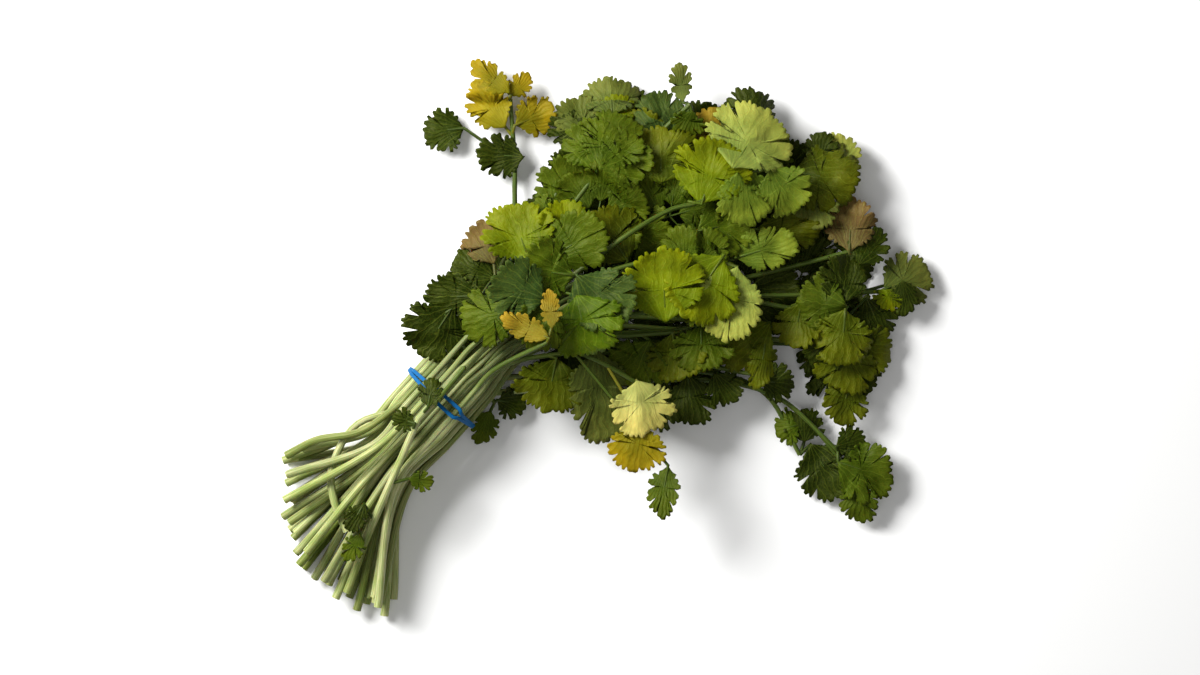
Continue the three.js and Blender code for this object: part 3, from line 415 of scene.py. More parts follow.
def lay_blade(leaflet, root, slackness):
    """Lays a leaflet's blade on the heap from the height of its root."""
    to_plan = leaflet_plan(leaflet)
    joint = to_plan(0, VEIN_JOINT)
    rim = coarse_rim(leaflet, to_plan)
    cover = blade_cover(joint, rim)
    level = free_heights(leaflet, np.vstack([joint, rim]), root, slackness)
    settle(cover, level)
    level = np.maximum(level, SOLID_BLADE / 2)
    level[1] = max(level[1], root)
    add_to_heap(cover, level)
    return dict(leaflet=leaflet, to_plan=to_plan, joint=joint, rim=rim, level=level)


def lay(stem):
    """Lays a leafy stem on the heap, and returns where its stem, stalks and blades are."""
    down, up = stem_ways(stem)
    points = np.vstack([evenly(down, STEM_RING_SPACING)[::-1], evenly(up, STEM_RING_SPACING)])
    leaves = [Leaflet(*leaf) for leaf in stem["leaves"]]
    count, size = len(points), len(points) + len(leaves)
    along = np.arange(count) / (count - 1)
    radii = STEM_RADIUS + (STEM_TIP_RADIUS - STEM_RADIUS) * along
    heights = np.zeros(size)
    heights[:count] = radii + stem["rise"] * np.maximum(0, along * 2 - 1)
    carried = np.eye(size)
    stalks = []
    for number, leaflet in enumerate(leaves):
        base = np.array([leaflet.base_x, leaflet.base_y], float)
        start, share = branch(points, base, size)
        stalks.append((start, base, share, count + number))
    stem_cover = rod_cover(points, radii, carried[:count])
    stalk_covers = [rod_cover([start, base], [STALK_RADIUS] * 2, [share, carried[end]])
        for start, base, share, end in stalks]
    cover = joined_cover([stem_cover, *stalk_covers])
    settle(cover, heights)
    stiffen(heights, count)
    for _, _, share, end in stalks:
        heights[end] = max(heights[end], share @ heights - stem["droop"])
    settle(cover, heights)
    add_to_heap(stem_cover, heights)
    blades = []
    for leaflet, (start, base, share, end), stalk_cover in zip(leaves, stalks, stalk_covers):
        blade = lay_blade(leaflet, heights[end], stem["slackness"])
        heights[end] = blade["level"][1]
        add_to_heap(stalk_cover, heights)
        blades.append(dict(**blade, stalk=[(*start, share @ heights), (*base, heights[end])]))
    return dict(down=down, up=up, points=points, heights=heights[:count], radii=radii, blades=blades)


def over_band(x, y):
    """Whether a place is over the part of the band that runs under the stems."""
    along, across = AXIS_X * x + AXIS_Y * y, AXIS_Y * x - AXIS_X * y
    return (abs(along) < BAND_HALF_LENGTH) & (abs(across) < BAND_HALF_REACH)


def bearing_above(stem):
    """The bearing of a stem's first way point above the band."""
    x, y = stem.get("up", [stem["tip"]])[0]
    return math.atan2(y, x)


def cut_end(place, size):
    """The cut end of the stem at a place from the left in a row of that size."""
    left, right = CUT_BEARINGS
    turn = left + (right - left) * (place + laying_draws.between(*CUT_PLACE)) / size
    short = max(0, FULL_LENGTH_FROM - turn) / (FULL_LENGTH_FROM - left)
    length = CUT_LENGTH * (1 - LEFT_SHORTER * short ** 2) - laying_draws.between(0, CUT_SCATTER)
    return length * math.cos(math.radians(turn)), length * math.sin(math.radians(turn))


far = BAND_HALF_REACH + BAND_HALF_LENGTH
x, y, cell = cells_in((-far, -far), (far, far))
heap[cell[over_band(x, y)]] = BAND_THICKNESS + HALF_GAP

# In a row, the stem whose leaves are furthest left goes furthest left.
laid_stems = []
for row, size in enumerate(BUNDLE_ROWS):
    members = LEAFY_STEMS[len(laid_stems):len(laid_stems) + size]
    for place, stem in enumerate(sorted(members, key=bearing_above, reverse=True)):
        stem.setdefault("cut", cut_end(place, size))
        stem.update(sway=laying_draws.between(*CUT_SWAY), across=(place - (size - 1) / 2) * STEM_PITCH,
            rise=TIP_RISE * row, droop=DROOP,
            slackness=LEAST_SLACK + MORE_SLACK * row / (len(BUNDLE_ROWS) - 1))
    laid_stems += [lay(stem) for stem in members]

# The blade of a leaflet is thin, and soft enough to pucker between its veins and to wave where it is
# wide. It has three lobes, with slits between them, and its edge has rounded teeth.
BLADE_THICKNESS, RINGS = 0.32, np.array([0.24, 0.48, 0.7, 0.88, 1.0])
TOOTH_SPACING, TOOTH_DEPTH, TOOTH_ROUNDNESS, TOOTH_POINTS = 2.9, 1.7, 0.7, np.array([0, 0.3, 0.7])
TOOTH_WIDTHS, TOOTH_SIZES, TEETH_FADE_IN, BARE_BASE, FULL_TEETH_RUN = (0.6, 1.4), (0.6, 1.3), 0.15, 0.3, 9
CORNER_CUT, LOBE_BULGES = 0.22, (0.9, 1.08)
VEIN_ANGLE, PUCKER, PUCKER_ROOT = 0.3, 0.07, 0.08
FLUTTER, WAVES_ROUND, FULL_FLUTTER_WIDTH, FLUTTER_LIMIT = 2.4, (2, 3, 5), 22, 1.1
SHEET_FIRMNESS = 0.03
DRAPE_GAP, DRAPE_REACH, DRAPE_SLOPE = 0.6, 2.0, 0.25

# Where a lobe of a whole leaf is: across and along its base, across and along its tip, and how
# wide it is, all for a leaf 1 wide and 1 long. Its stalk leaves the midrib a little below it.
LOBES = [(0, 0.5, 0, 1.0, 0.54), (0.1, 0.44, 0.5, 0.66, 0.42), (-0.1, 0.44, -0.5, 0.66, 0.42),
    (0.06, 0.28, 0.48, 0.12, 0.4), (-0.06, 0.28, -0.48, 0.12, 0.4)]
MIDRIB, FORK_BELOW, INTO_LOBE = (0, 0.28, 0.5), 0.06, 0.3

# Half of a leaflet's own outline: the rims of its three lobes, and how deep the slits between them
# may reach, across by along.
LOBE_RIMS = [[(0, 0), (0.10, 0.06), (0.30, 0.16), (0.48, 0.27), (0.53, 0.37), (0.50, 0.44)],
    [(0.51, 0.485), (0.56, 0.57), (0.54, 0.68), (0.44, 0.755)],
    [(0.40, 0.785), (0.38, 0.88), (0.25, 0.96), (0.10, 0.975), (0, 1)]]
SLIT_ENDS = [(0.24, 0.42), (0.15, 0.60)]
SLIT_CUTS, SLIT_UNEVEN = (0.2, 0.8), (0.6, 1.2)

# The tones of leaflets and of stems, which are pale at the cut and green towards the leaves. No two
# are quite alike, and a few stems are green all along. The leaflet tones also hold painted shade: the
# dark tone, and the darker tones of leaflets deep in the heap and in its shaded right and left parts,
# stand in for the shade that falls there as well as for their own green.
TONE_AND_SHADE_COLOURS = dict(
    dark="#1b2603", green="#384607", grey="#4a5224", blue="#2a3b18", olive="#404704",
    lime="#5a6503", light="#55641c", pale="#7a823d", cream="#a8a25f", yellow="#75660a",
    gold="#75631a", tan="#7a683c", brown="#57452a", bright="#3c5005")
BASE_STEM, GREEN_STEM, UPPER_STEM = "#a9aa7c", "#6d7730", "#48561f"
LEAFLET_TONES, LOBE_TONES, STEM_TONES = (0.88, 1.12), (0.88, 1.14), (0.78, 1.22)
PALE_LENGTH, GREENING, FEW_GREEN = 70, 1.5, 1.6

# Stems and stalks are tubes with low ribs. A stalk thins out along its leaflet's midrib. Its streaks
# are those of the stretch STALK_ALONG of a stem.
STEM_SIDES, STEM_RIBS, RIB_DEPTH, LINE_STEP = 16, 8.0, 0.06, 8
STALK_END_RADIUS, STALK_END, SIDE_STALK, STALK_ARCH, STALK_ALONG = 0.36, 0.2, 0.6, 0.25, (60, 90)
look_draws = SeededDraws(907)


def linear(colour):
    """An sRGB colour, written as for a web page, as linear light."""
    parts = [int(colour[i:i + 2], 16) / 255 for i in (1, 3, 5)]
    return np.array([p / 12.92 if p <= 0.04045 else ((p + 0.055) / 1.055) ** 2.4 for p in parts])


def rounded(points):
    """Cuts each corner of an open line, and keeps its ends."""
    made = [points[0]]
    for a, b in zip(points[:-1], points[1:]):
        made += [(1 - CORNER_CUT) * a + CORNER_CUT * b, CORNER_CUT * a + (1 - CORNER_CUT) * b]
    return np.array(made + [points[-1]])


def toothed(line, bare_start=-TEETH_FADE_IN):
    """A run of the edge with its uneven, rounded teeth, half out of its line and half into it.

    The share bare_start of the run has none."""
    at = measured(line)[1]
    run = at[-1]
    teeth = max(2, round(run / TOOTH_SPACING))
    ends = np.concatenate([[0], np.cumsum([look_draws.between(*TOOTH_WIDTHS) for _ in range(teeth)])])
    number = np.append((np.arange(teeth)[:, None] + TOOTH_POINTS).ravel(), teeth)
    place = np.interp(number, np.arange(teeth + 1), ends / ends[-1] * run)
    edge = np.column_stack([np.interp(place, at, line[:, axis]) for axis in (0, 1)])
    way = np.gradient(edge, axis=0)
    out = np.column_stack([way[:, 1], -way[:, 0]]) / np.maximum(np.hypot(*way.T), 1e-6)[:, None]
    size = np.array([look_draws.between(*TOOTH_SIZES) for _ in range(teeth + 1)])
    wave = np.abs(np.sin(np.pi * number)) ** TOOTH_ROUNDNESS * size[number.astype(int)]
    shown = np.clip((place / run - bare_start) / TEETH_FADE_IN, 0, 1)
    depth = TOOTH_DEPTH * min(1, run / FULL_TEETH_RUN) * shown
    return edge + out * (depth * (wave - 0.5))[:, None]


def toothed_edge(width, length, cuts):
    """The edge of a leaflet, base to tip and back, in millimetres across and along."""
    sides = []
    cut = look_draws.between(*cuts)
    middle = np.array([0, VEIN_JOINT * length])
    for _ in range(2):
        runs = []
        for number, rim in enumerate(LOBE_RIMS):
            bulge = look_draws.between(*LOBE_BULGES)
            line = np.array(rim) * (width, length)
            line[1:-1] = middle + (line[1:-1] - middle) * bulge
            runs.append(toothed(rounded(line), BARE_BASE) if number == 0 else toothed(rounded(line)))
            if number < len(SLIT_ENDS):
                mouth = runs[-1][-1]
                bottom = np.array(SLIT_ENDS[number]) * (width, length)
                runs.append((mouth + (bottom - mouth) * cut * look_draws.between(*SLIT_UNEVEN))[None])
        edge = np.vstack(runs)
        edge[0], edge[-1] = (0, 0), (0, length)
        sides.append(edge)
    return np.vstack([sides[0], (sides[1] * (-1, 1))[::-1][1:-1]])


def blade_height(blade):
    """The height of a laid blade's middle: the smooth curved sheet that passes nearest to its points."""
    joint, reach = blade["joint"], blade["leaflet"].width

    def terms(places):
        x = (places[..., 0] - joint[0]) / reach
        y = (places[..., 1] - joint[1]) / reach
        cubic = [x ** 3, x * x * y, x * y * y, y ** 3]
        return np.stack([np.ones_like(x), x, y, x * x, x * y, y * y, *cubic], -1)
    known = terms(np.vstack([joint, blade["rim"]]))
    firmness = SHEET_FIRMNESS * np.eye(known.shape[1])
    shape = np.linalg.solve(known.T @ known + firmness, known.T @ blade["level"])
    return lambda places: terms(places) @ shape


def draped(places, z, stalks):
    """The heights z, raised where a leaflet lies over the stalk of another one."""
    for start, base in stalks:
        way = base[:2] - start[:2]
        along = np.clip((places - start[:2]) @ way / max(way @ way, 1e-9), 0, 1)
        away = np.hypot(*(places - start[:2] - along[:, None] * way).T)
        top = start[2] + along * (base[2] - start[2]) + STALK_RADIUS + DRAPE_GAP
        z = np.maximum(z, top - DRAPE_SLOPE * np.maximum(0, away - DRAPE_REACH))
    return z


def puckered(grid, width, length):
    """How far a blade rises off its sheet: ridges between its veins, and waves that grow to its edge."""
    x, y = grid.T
    beyond_joint = y - VEIN_JOINT * length
    vein = np.arctan2(x, y + PUCKER_ROOT * length)
    turn = np.arctan2(x, beyond_joint)
    away = np.hypot(2 * x / width, beyond_joint / (length - VEIN_JOINT * length))
    lift = PUCKER * np.cos(2 * np.pi * (vein / VEIN_ANGLE + 0.5)) * np.minimum(away, 1)
    for waves in WAVES_ROUND:
        phase = look_draws.between(0, 2 * math.pi)
        reach = np.minimum(away, FLUTTER_LIMIT) ** 2
        swing = FLUTTER / waves * min(1, width / FULL_FLUTTER_WIDTH) * reach
        lift += swing * np.sin(phase + waves * turn)
    return lift


class Sheets:
    """Gathers the blades of a stem's leaflets, and the lines that its stem and stalks are tubes round."""
    def __init__(self, stalks):
        self.stalks = stalks
        self.points, self.faces, self.uv, self.colours = [], [], [], []
        self.lines = []

    def add_leaflet(self, edge, width, length, to_map, height, colour, own_stalk):
        """A blade of rings from its vein joint out to its edge, in two layers."""
        joint = np.array([0, VEIN_JOINT * length])
        grid = np.vstack([joint[None], *[joint + ring * (edge - joint) for ring in RINGS]])
        places = to_map(grid[:, 0] / width, grid[:, 1] / length)
        lift = puckered(grid, width, length)
        others = self.stalks[:own_stalk] + self.stalks[own_stalk + 1:]
        z = draped(places, np.maximum(height(places) + lift, BLADE_THICKNESS), others)
        top = sum(len(block) for block in self.points)
        for side in (0.5, -0.5):
            self.points.append(np.column_stack([places, z + side * BLADE_THICKNESS]))
            self.uv.append(np.column_stack([grid[:, 0] / width + 0.5, grid[:, 1] / length]))
            self.colours.append(np.tile(colour, (len(grid), 1)))
        mirrored = np.cross(*(to_map(np.array([1.0, 0]), np.array([0, 1.0])) - to_map(0.0, 0.0))) > 0
        self.add_faces(top, top + len(grid), len(edge), mirrored)

    def add_faces(self, top, under, around, mirrored):
        """The upper and lower faces of a blade and the rim between them, all turned outwards."""
        def face(*corners):
            self.faces.append(corners if mirrored else corners[::-1])
        rim = 1 + (len(RINGS) - 1) * around
        for k in range(around):
            after = (k + 1) % around
            face(top, top + 1 + k, top + 1 + after)
            face(under, under + 1 + after, under + 1 + k)
            for inner in range(1, rim, around):
                outer = inner + around
                face(top + inner + k, top + outer + k, top + outer + after, top + inner + after)
                face(under + inner + k, under + inner + after, under + outer + after, under + outer + k)
            face(top + rim + k, under + rim + k, under + rim + after, top + rim + after)

    def add_line(self, points, radii, along, colours):
        self.lines.append((points, radii, along, colours))


def lobe_plan(leaf_plan, width, length, lobe):
    """The width and length of a whole leaf's lobe, and what turns a place on it into one on the map."""
    base_across, base_along, tip_across, tip_along, share = lobe
    start = np.array([base_across * width, base_along * length])
    way = np.array([(tip_across - base_across) * width, (tip_along - base_along) * length])
    lobe_length, lobe_width = math.hypot(*way), share * width
    ahead = way / lobe_length
    side = np.array([ahead[1], -ahead[0]])

    def to_map(across, along):
        flat = (start + np.multiply.outer(across, side) * lobe_width
            + np.multiply.outer(along, ahead) * lobe_length)
        return leaf_plan(flat[..., 0] / width, flat[..., 1] / length)
    return lobe_width, lobe_length, to_map


def add_stalks(sheets, blade, height, runs, colour):
    """A leaflet's stalk, which goes on as the first of the runs on its blade, and its side stalks."""
    start, base = (np.array(point) for point in blade["stalk"])
    for order, run in enumerate(runs):
        flat = np.array([blade["to_plan"](across, along) for across, along in run])
        points = np.column_stack([flat, height(flat)])
        radii = np.linspace(STALK_RADIUS, STALK_END_RADIUS, len(points))
        if order == 0:
            middle = (start + base) / 2
            middle[2] += STALK_ARCH
            points = np.vstack([start, middle, base, points[1:]])
            radii = np.concatenate([[STALK_RADIUS] * 3, radii[1:]])
        else:
            radii = radii * SIDE_STALK
        along = np.linspace(*STALK_ALONG, len(points))
        sheets.add_line(points, radii, along, np.tile(colour, (len(points), 1)))


def add_blade(sheets, blade, number, cuts, fullness):
    """A leaflet, or the five lobes of a whole leaf, with its stalks."""
    leaflet, to_plan, height = blade["leaflet"], blade["to_plan"], blade_height(blade)
    width = leaflet.width
    length = math.dist((leaflet.base_x, leaflet.base_y), (leaflet.tip_x, leaflet.tip_y))
    base_colour = linear(TONE_AND_SHADE_COLOURS[leaflet.tone]) * look_draws.between(*LEAFLET_TONES)
    if width < WHOLE_LEAF:
        edge = toothed_edge(width, length, cuts) * (fullness, 1)
        sheets.add_leaflet(edge, width, length, to_plan, height, base_colour, number)
        runs = [[(0, along) for along in (0, STALK_END, VEIN_JOINT)]]
    else:
        runs = [[(0, along) for along in MIDRIB]]
        for lobe in LOBES:
            wide, long, to_map = lobe_plan(to_plan, width, length, lobe)
            colour = base_colour * look_draws.between(*LOBE_TONES)
            edge = toothed_edge(wide, long, cuts)
            sheets.add_leaflet(edge, wide, long, to_map, height, colour, number)
            base, tip = np.array(lobe[0:2]), np.array(lobe[2:4])
            runs.append([(0, base[1] - FORK_BELOW), base, base * (1 - INTO_LOBE) + tip * INTO_LOBE])
    add_stalks(sheets, blade, height, runs, (base_colour + linear(UPPER_STEM)) / 2)


def smooth_heights(lengths, rings, heights):
    """A gentle line through the ring heights, with no overshoot above or below them."""
    k = np.clip(np.searchsorted(rings, lengths) - 1, 0, len(rings) - 2)
    t = np.clip((lengths - rings[k]) / (rings[k + 1] - rings[k]), 0, 1)
    eased = t * t * (3 - 2 * t)
    t = (t + eased) / 2
    return heights[k] * (1 - t) + heights[k + 1] * t


def stem_line(laid):
    """The smooth line of a stem from its cut end to its tip, with its radius at each point."""
    lower, _ = curve_through(laid["down"])
    upper, _ = curve_through(laid["up"])
    flat = np.vstack([lower[::LINE_STEP][::-1], upper[::LINE_STEP]])
    lengths = measured(flat)[1]
    rings = lengths[[np.argmin(np.hypot(*(flat - point).T)) for point in laid["points"]]]
    z = smooth_heights(lengths, rings, laid["heights"])
    return np.column_stack([flat, z]), np.interp(lengths, rings, laid["radii"]), lengths


def stem_colours(lengths):
    """The colours down a stem, from its cut end to its tip."""
    up = np.clip((lengths - PALE_LENGTH) / (lengths[-1] - PALE_LENGTH) * GREENING, 0, 1)[:, None]
    green = look_draws.between(0, 1) ** FEW_GREEN
    base = (linear(BASE_STEM) * (1 - green) + linear(GREEN_STEM) * green) * look_draws.between(*STEM_TONES)
    return base * (1 - up) + linear(UPPER_STEM) * up


def node_adder(tree):
    """What adds a node to the tree, with its settings and with a value or a link in each socket."""
    def add(kind, inputs=(), **settings):
        node = tree.nodes.new(kind)
        for name, value in settings.items():
            setattr(node, name, value)
        for place, value in dict(inputs).items():
            fill_socket(tree, value, node.inputs[place])
        return node
    return add


def fill_socket(tree, value, socket):
    """Links an output to the socket, or sets it to a plain value."""
    if hasattr(value, "is_output"):
        tree.links.new(value, socket)
    else:
        socket.default_value = value


def ribbed_circle(add, ribs, rib_depth):
    """A circle with ribs as low as rib_depth, which knows each point's place on the plain circle."""
    circle = add("GeometryNodeCurvePrimitiveCircle", {"Resolution": STEM_SIDES, "Radius": 1.0})
    place = add("GeometryNodeInputPosition").outputs[0]
    split = add("ShaderNodeSeparateXYZ", {0: place})
    angle = add("ShaderNodeMath", {0: split.outputs[1], 1: split.outputs[0]}, operation="ARCTAN2")
    turns = add("ShaderNodeMath", {0: angle.outputs[0], 1: ribs}, operation="MULTIPLY")
    ridge = add("ShaderNodeMath", {0: turns.outputs[0]}, operation="COSINE")
    below = add("ShaderNodeMath", {0: 1.0, 1: ridge.outputs[0]}, operation="SUBTRACT")
    depth = add("ShaderNodeMath", {0: below.outputs[0], 1: rib_depth}, operation="MULTIPLY")
    grown = add("ShaderNodeMath", {0: 1.0, 1: depth.outputs[0]}, operation="SUBTRACT")
    ribbed = add("ShaderNodeVectorMath", {0: place, "Scale": grown.outputs[0]}, operation="SCALE")
    profile = add("GeometryNodeSetPosition",
        {"Geometry": circle.outputs["Curve"], "Position": ribbed.outputs[0]})
    return add("GeometryNodeStoreNamedAttribute",
        {"Geometry": profile.outputs[0], "Name": "round_place", "Value": place},
        data_type="FLOAT_VECTOR", domain="POINT").outputs[0]


def stem_tree():
    """Skins each stem and stalk line with a ribbed tube, and joins it to the leaflets."""
    tree = bpy.data.node_groups.new("stems and leaflets", "GeometryNodeTree")
    add = node_adder(tree)
    new_socket = tree.interface.new_socket
    new_socket("Geometry", in_out="INPUT", socket_type="NodeSocketGeometry")
    for name, size in (("Ribs", STEM_RIBS), ("Rib depth", RIB_DEPTH)):
        new_socket(name, in_out="INPUT", socket_type="NodeSocketFloat").default_value = size
    for name in ("Stem material", "Leaf material"):
        new_socket(name, in_out="INPUT", socket_type="NodeSocketMaterial")
    new_socket("Geometry", in_out="OUTPUT", socket_type="NodeSocketGeometry")
    given = add("NodeGroupInput").outputs
    is_line = add("GeometryNodeInputNamedAttribute", {"Name": "is_line"}, data_type="BOOLEAN")
    parts = add("GeometryNodeSeparateGeometry", {0: given["Geometry"], 1: is_line.outputs[0]},
        domain="POINT")
    lines = add("GeometryNodeMeshToCurve", {"Mesh": parts.outputs["Selection"]})
    radius = add("GeometryNodeInputNamedAttribute", {"Name": "tube_radius"}, data_type="FLOAT")
    profile = ribbed_circle(add, given["Ribs"], given["Rib depth"])
    tube = add("GeometryNodeCurveToMesh", {"Curve": lines.outputs[0], "Profile Curve": profile,
        "Scale": radius.outputs[0], "Fill Caps": True})
    stems = add("GeometryNodeSetMaterial",
        {"Geometry": tube.outputs[0], "Material": given["Stem material"]})
    leaves = add("GeometryNodeSetMaterial",
        {"Geometry": parts.outputs["Inverted"], "Material": given["Leaf material"]})
    both = add("GeometryNodeJoinGeometry")
    for part in (leaves, stems):
        tree.links.new(part.outputs[0], both.inputs[0])
    real = add("GeometryNodeRealizeInstances", {0: both.outputs[0]})
    add("NodeGroupOutput", {0: real.outputs[0]})
    return tree


class Finish:
    """A material in the making: its shader, and short ways to add the nodes that feed it."""
    def __init__(self, name, roughness, subsurface=0.0, specular=0.3, sheen=(1, 1, 1), soft_depth=0.0008):
        self.material = bpy.data.materials.new(name)
        self.material.use_nodes = True
        self.tree = self.material.node_tree
        self.add = node_adder(self.tree)
        self.sockets = self.tree.nodes["Principled BSDF"].inputs
        self.sockets["Roughness"].default_value = roughness
        self.sockets["Specular IOR Level"].default_value = specular
        self.sockets["Subsurface Weight"].default_value = subsurface
        self.sockets["Subsurface Scale"].default_value = soft_depth
        self.sockets["Specular Tint"].default_value = (*sheen, 1)

    def place(self):
        return self.add("ShaderNodeTexCoord").outputs["Object"]

    def attribute(self, name, output="Color"):
        return self.add("ShaderNodeAttribute", attribute_name=name).outputs[output]

    def noise(self, where, scale, detail):
        return self.add("ShaderNodeTexNoise", {"Vector": where, "Scale": scale, "Detail": detail}).outputs[0]

    def maths(self, operation, a, b=0.0):
        return self.add("ShaderNodeMath", {0: a, 1: b}, operation=operation).outputs[0]

    def mixed(self, share, first, second, mode="MIX"):
        mix = self.add("ShaderNodeMix", {0: share, 6: first, 7: second}, data_type="RGBA", blend_type=mode)
        return mix.outputs[2]

    def shaded(self, colour, share, low, high):
        """The colour, times low where the share is 0 and times high where it is 1."""
        shade = self.mixed(share, (*low, 1), (*high, 1))
        return self.mixed(1.0, colour, shade, "MULTIPLY")

    def ramp(self, value, low, high):
        """0 below low and 1 above high, or the other way round."""
        return self.add("ShaderNodeMapRange", {0: value, 1: low, 2: high, 3: 0.0, 4: 1.0},
            interpolation_type="SMOOTHSTEP").outputs[0]

    def bump(self, height, strength, distance, **more):
        return self.add("ShaderNodeBump",
            {"Height": height, "Strength": strength, "Distance": distance, **more}).outputs[0]

    def made_of(self, colour, normal):
        fill_socket(self.tree, colour, self.sockets["Base Color"])
        fill_socket(self.tree, normal, self.sockets["Normal"])
        return self.material


# The finish of a blade. The veins fan out from a little below its base; their sizes are shares of its
# length. Its green is uneven in patches, partly its own colour and partly painted shade and light that
# follow its fine bumps. It is painted paler and yellower towards its edge, a painted glow of light
# through the thin rim, and darker towards its base. It lies in soft folds.
VEIN_ROOT, VEIN_WANDER, VEIN_CORE, VEIN_CLEARNESS = 0.06, 0.3, 0.25, 0.7
MAIN_VEIN, FORK, TWIG = 0.011, 0.008, 0.007
FORKS_FROM, TWIGS_FROM, FORKS_SHOW, TWIGS_SHOW = (0.35, 0.55), (0.6, 0.8), 0.8, 0.6
NET_CELLS, NET_LINE, NET_SHOWS = 620.0, (0.09, 0.02), 0.35
VEIN_LIGHT = (0.05, 0.06, 0.006, 1)
# The patches are partly the blade's own uneven green and partly painted shade and light: the same noise
# raises its fine bumps, and the blade is painted darker where they sink and lighter where they rise.
PATCH_SHARES, PATCH_TONE_AND_SHADE = (0.3, 0.7), ((0.72, 0.76, 0.6), (1.2, 1.16, 1.05))
# Painted glow of light through the thin rim: paler and yellower towards the edge, darker at the base.
RIM_GLOW_SHARES, RIM_GLOW_SHADES = (0.35, 1.0), ((0.82, 0.9, 0.85), (1.22, 1.12, 1.0))
GRAIN_HEIGHT, VEIN_HEIGHT, RIDGE_HEIGHT = 0.2, -0.3, 0.36

# The finish of a stem: streaks along it, and here and there a greener blotch.
STREAK_STRETCH, STREAK_SHARES, STREAK_SHADES = 0.012, (0.35, 0.65), ((0.5, 0.62, 0.36), (1.25, 1.2, 1.25))
BLOTCH_SHARES, BLOTCH_SHADES = (0.4, 0.75), ((1, 1, 1), (0.8, 0.9, 0.62))


def vein_lines(leaf, bearing, reach, place):
    """Main veins from the base of a leaflet, their forks and twigs, and the fine net between them."""
    maths, ramp = leaf.maths, leaf.ramp

    def veins(spacing, shift, width):
        turn = maths("ADD", maths("DIVIDE", bearing, spacing), shift)
        away = maths("ABSOLUTE", maths("SUBTRACT", maths("FRACT", turn), 0.5))
        distance = maths("MULTIPLY", maths("MULTIPLY", away, spacing), reach)
        return ramp(distance, width, width * VEIN_CORE)
    main = veins(VEIN_ANGLE, 0.5, MAIN_VEIN)
    forks = maths("MULTIPLY", veins(VEIN_ANGLE, 0.0, FORK), ramp(reach, *FORKS_FROM))
    twigs = maths("MULTIPLY", veins(VEIN_ANGLE / 2, 0.25, TWIG), ramp(reach, *TWIGS_FROM))
    cells = leaf.add("ShaderNodeTexVoronoi", {"Vector": place, "Scale": NET_CELLS},
        feature="DISTANCE_TO_EDGE")
    net = maths("MULTIPLY", ramp(cells.outputs[0], *NET_LINE), NET_SHOWS)
    return maths("MAXIMUM", maths("MAXIMUM", main, maths("MULTIPLY", forks, FORKS_SHOW)),
        maths("MAXIMUM", maths("MULTIPLY", twigs, TWIGS_SHOW), net))


def leaf_material():
    """Soft green blade: veins spread from its base, and the green between them is uneven."""
    leaf = Finish("coriander leaf", roughness=0.45, subsurface=0.08, specular=0.12, sheen=(0.95, 1.0, 0.4))
    maths = leaf.maths
    colour = leaf.attribute("plant_colour")
    uv = leaf.add("ShaderNodeUVMap", uv_map="leaf_place")
    split = leaf.add("ShaderNodeSeparateXYZ", {0: uv.outputs[0]})
    across = maths("SUBTRACT", split.outputs[0], 0.5)
    along = maths("ADD", split.outputs[1], VEIN_ROOT)
    reach = maths("SQRT", maths("ADD", maths("MULTIPLY", across, across), maths("MULTIPLY", along, along)))
    place = leaf.place()
    drift = leaf.noise(place, scale=160.0, detail=2.0)
    sway = maths("MULTIPLY", maths("SUBTRACT", drift, 0.5), VEIN_WANDER)
    bearing = maths("ADD", maths("ARCTAN2", across, along), sway)
    vein = vein_lines(leaf, bearing, reach, place)
    patches = leaf.noise(place, scale=95.0, detail=5.0)
    # uneven green, partly painted shade and light of the fine bumps that the same noise raises
    patchy_and_shaded = leaf.shaded(colour, leaf.ramp(patches, *PATCH_SHARES), *PATCH_TONE_AND_SHADE)
    # painted glow: paler and yellower towards the rim, as if light shone through it, and darker towards the
    # base
    green = leaf.shaded(patchy_and_shaded, leaf.ramp(reach, *RIM_GLOW_SHARES), *RIM_GLOW_SHADES)
    pale = leaf.mixed(1.0, green, VEIN_LIGHT, "ADD")
    veined = leaf.mixed(maths("MULTIPLY", vein, VEIN_CLEARNESS), green, pale)
    grain = leaf.noise(place, scale=900.0, detail=3.0)
    ridges = maths("MULTIPLY", maths("COSINE", maths("MULTIPLY", bearing, 4 * math.pi / VEIN_ANGLE)), reach)
    grainy = maths("ADD", patches, maths("MULTIPLY", grain, GRAIN_HEIGHT))
    sunk_veins = maths("ADD", maths("MULTIPLY", vein, VEIN_HEIGHT), grainy)
    height = maths("ADD", sunk_veins, maths("MULTIPLY", ridges, RIDGE_HEIGHT))
    fine = leaf.bump(height, strength=0.5, distance=0.0006)
    folds = leaf.noise(place, scale=75.0, detail=1.0)
    return leaf.made_of(veined, leaf.bump(folds, strength=0.8, distance=0.006, Normal=fine))


def stem_material():
    """Juicy, pale, faintly streaked along its length."""
    stem = Finish("coriander stem", roughness=0.4, subsurface=0.15, specular=0.2, sheen=(0.95, 1.0, 0.7))
    colour = stem.attribute("plant_colour")
    round_place = stem.attribute("round_place", "Vector")
    lengthwise = stem.maths("MULTIPLY", stem.attribute("along_mm", "Fac"), STREAK_STRETCH)
    lifted = stem.add("ShaderNodeCombineXYZ", {2: lengthwise})
    where = stem.add("ShaderNodeVectorMath", {0: round_place, 1: lifted.outputs[0]}, operation="ADD")
    streaks = stem.noise(where.outputs[0], scale=5.5, detail=3.0)
    blotches = stem.noise(stem.place(), scale=70.0, detail=3.0)
    streaked = stem.shaded(colour, stem.ramp(streaks, *STREAK_SHARES), *STREAK_SHADES)
    blotched = stem.shaded(streaked, stem.ramp(blotches, *BLOTCH_SHARES), *BLOTCH_SHADES)
    return stem.made_of(blotched, stem.bump(streaks, strength=0.35, distance=0.0004))


LEAF_FINISH, STEM_FINISH, STEM_TREE = leaf_material(), stem_material(), stem_tree()


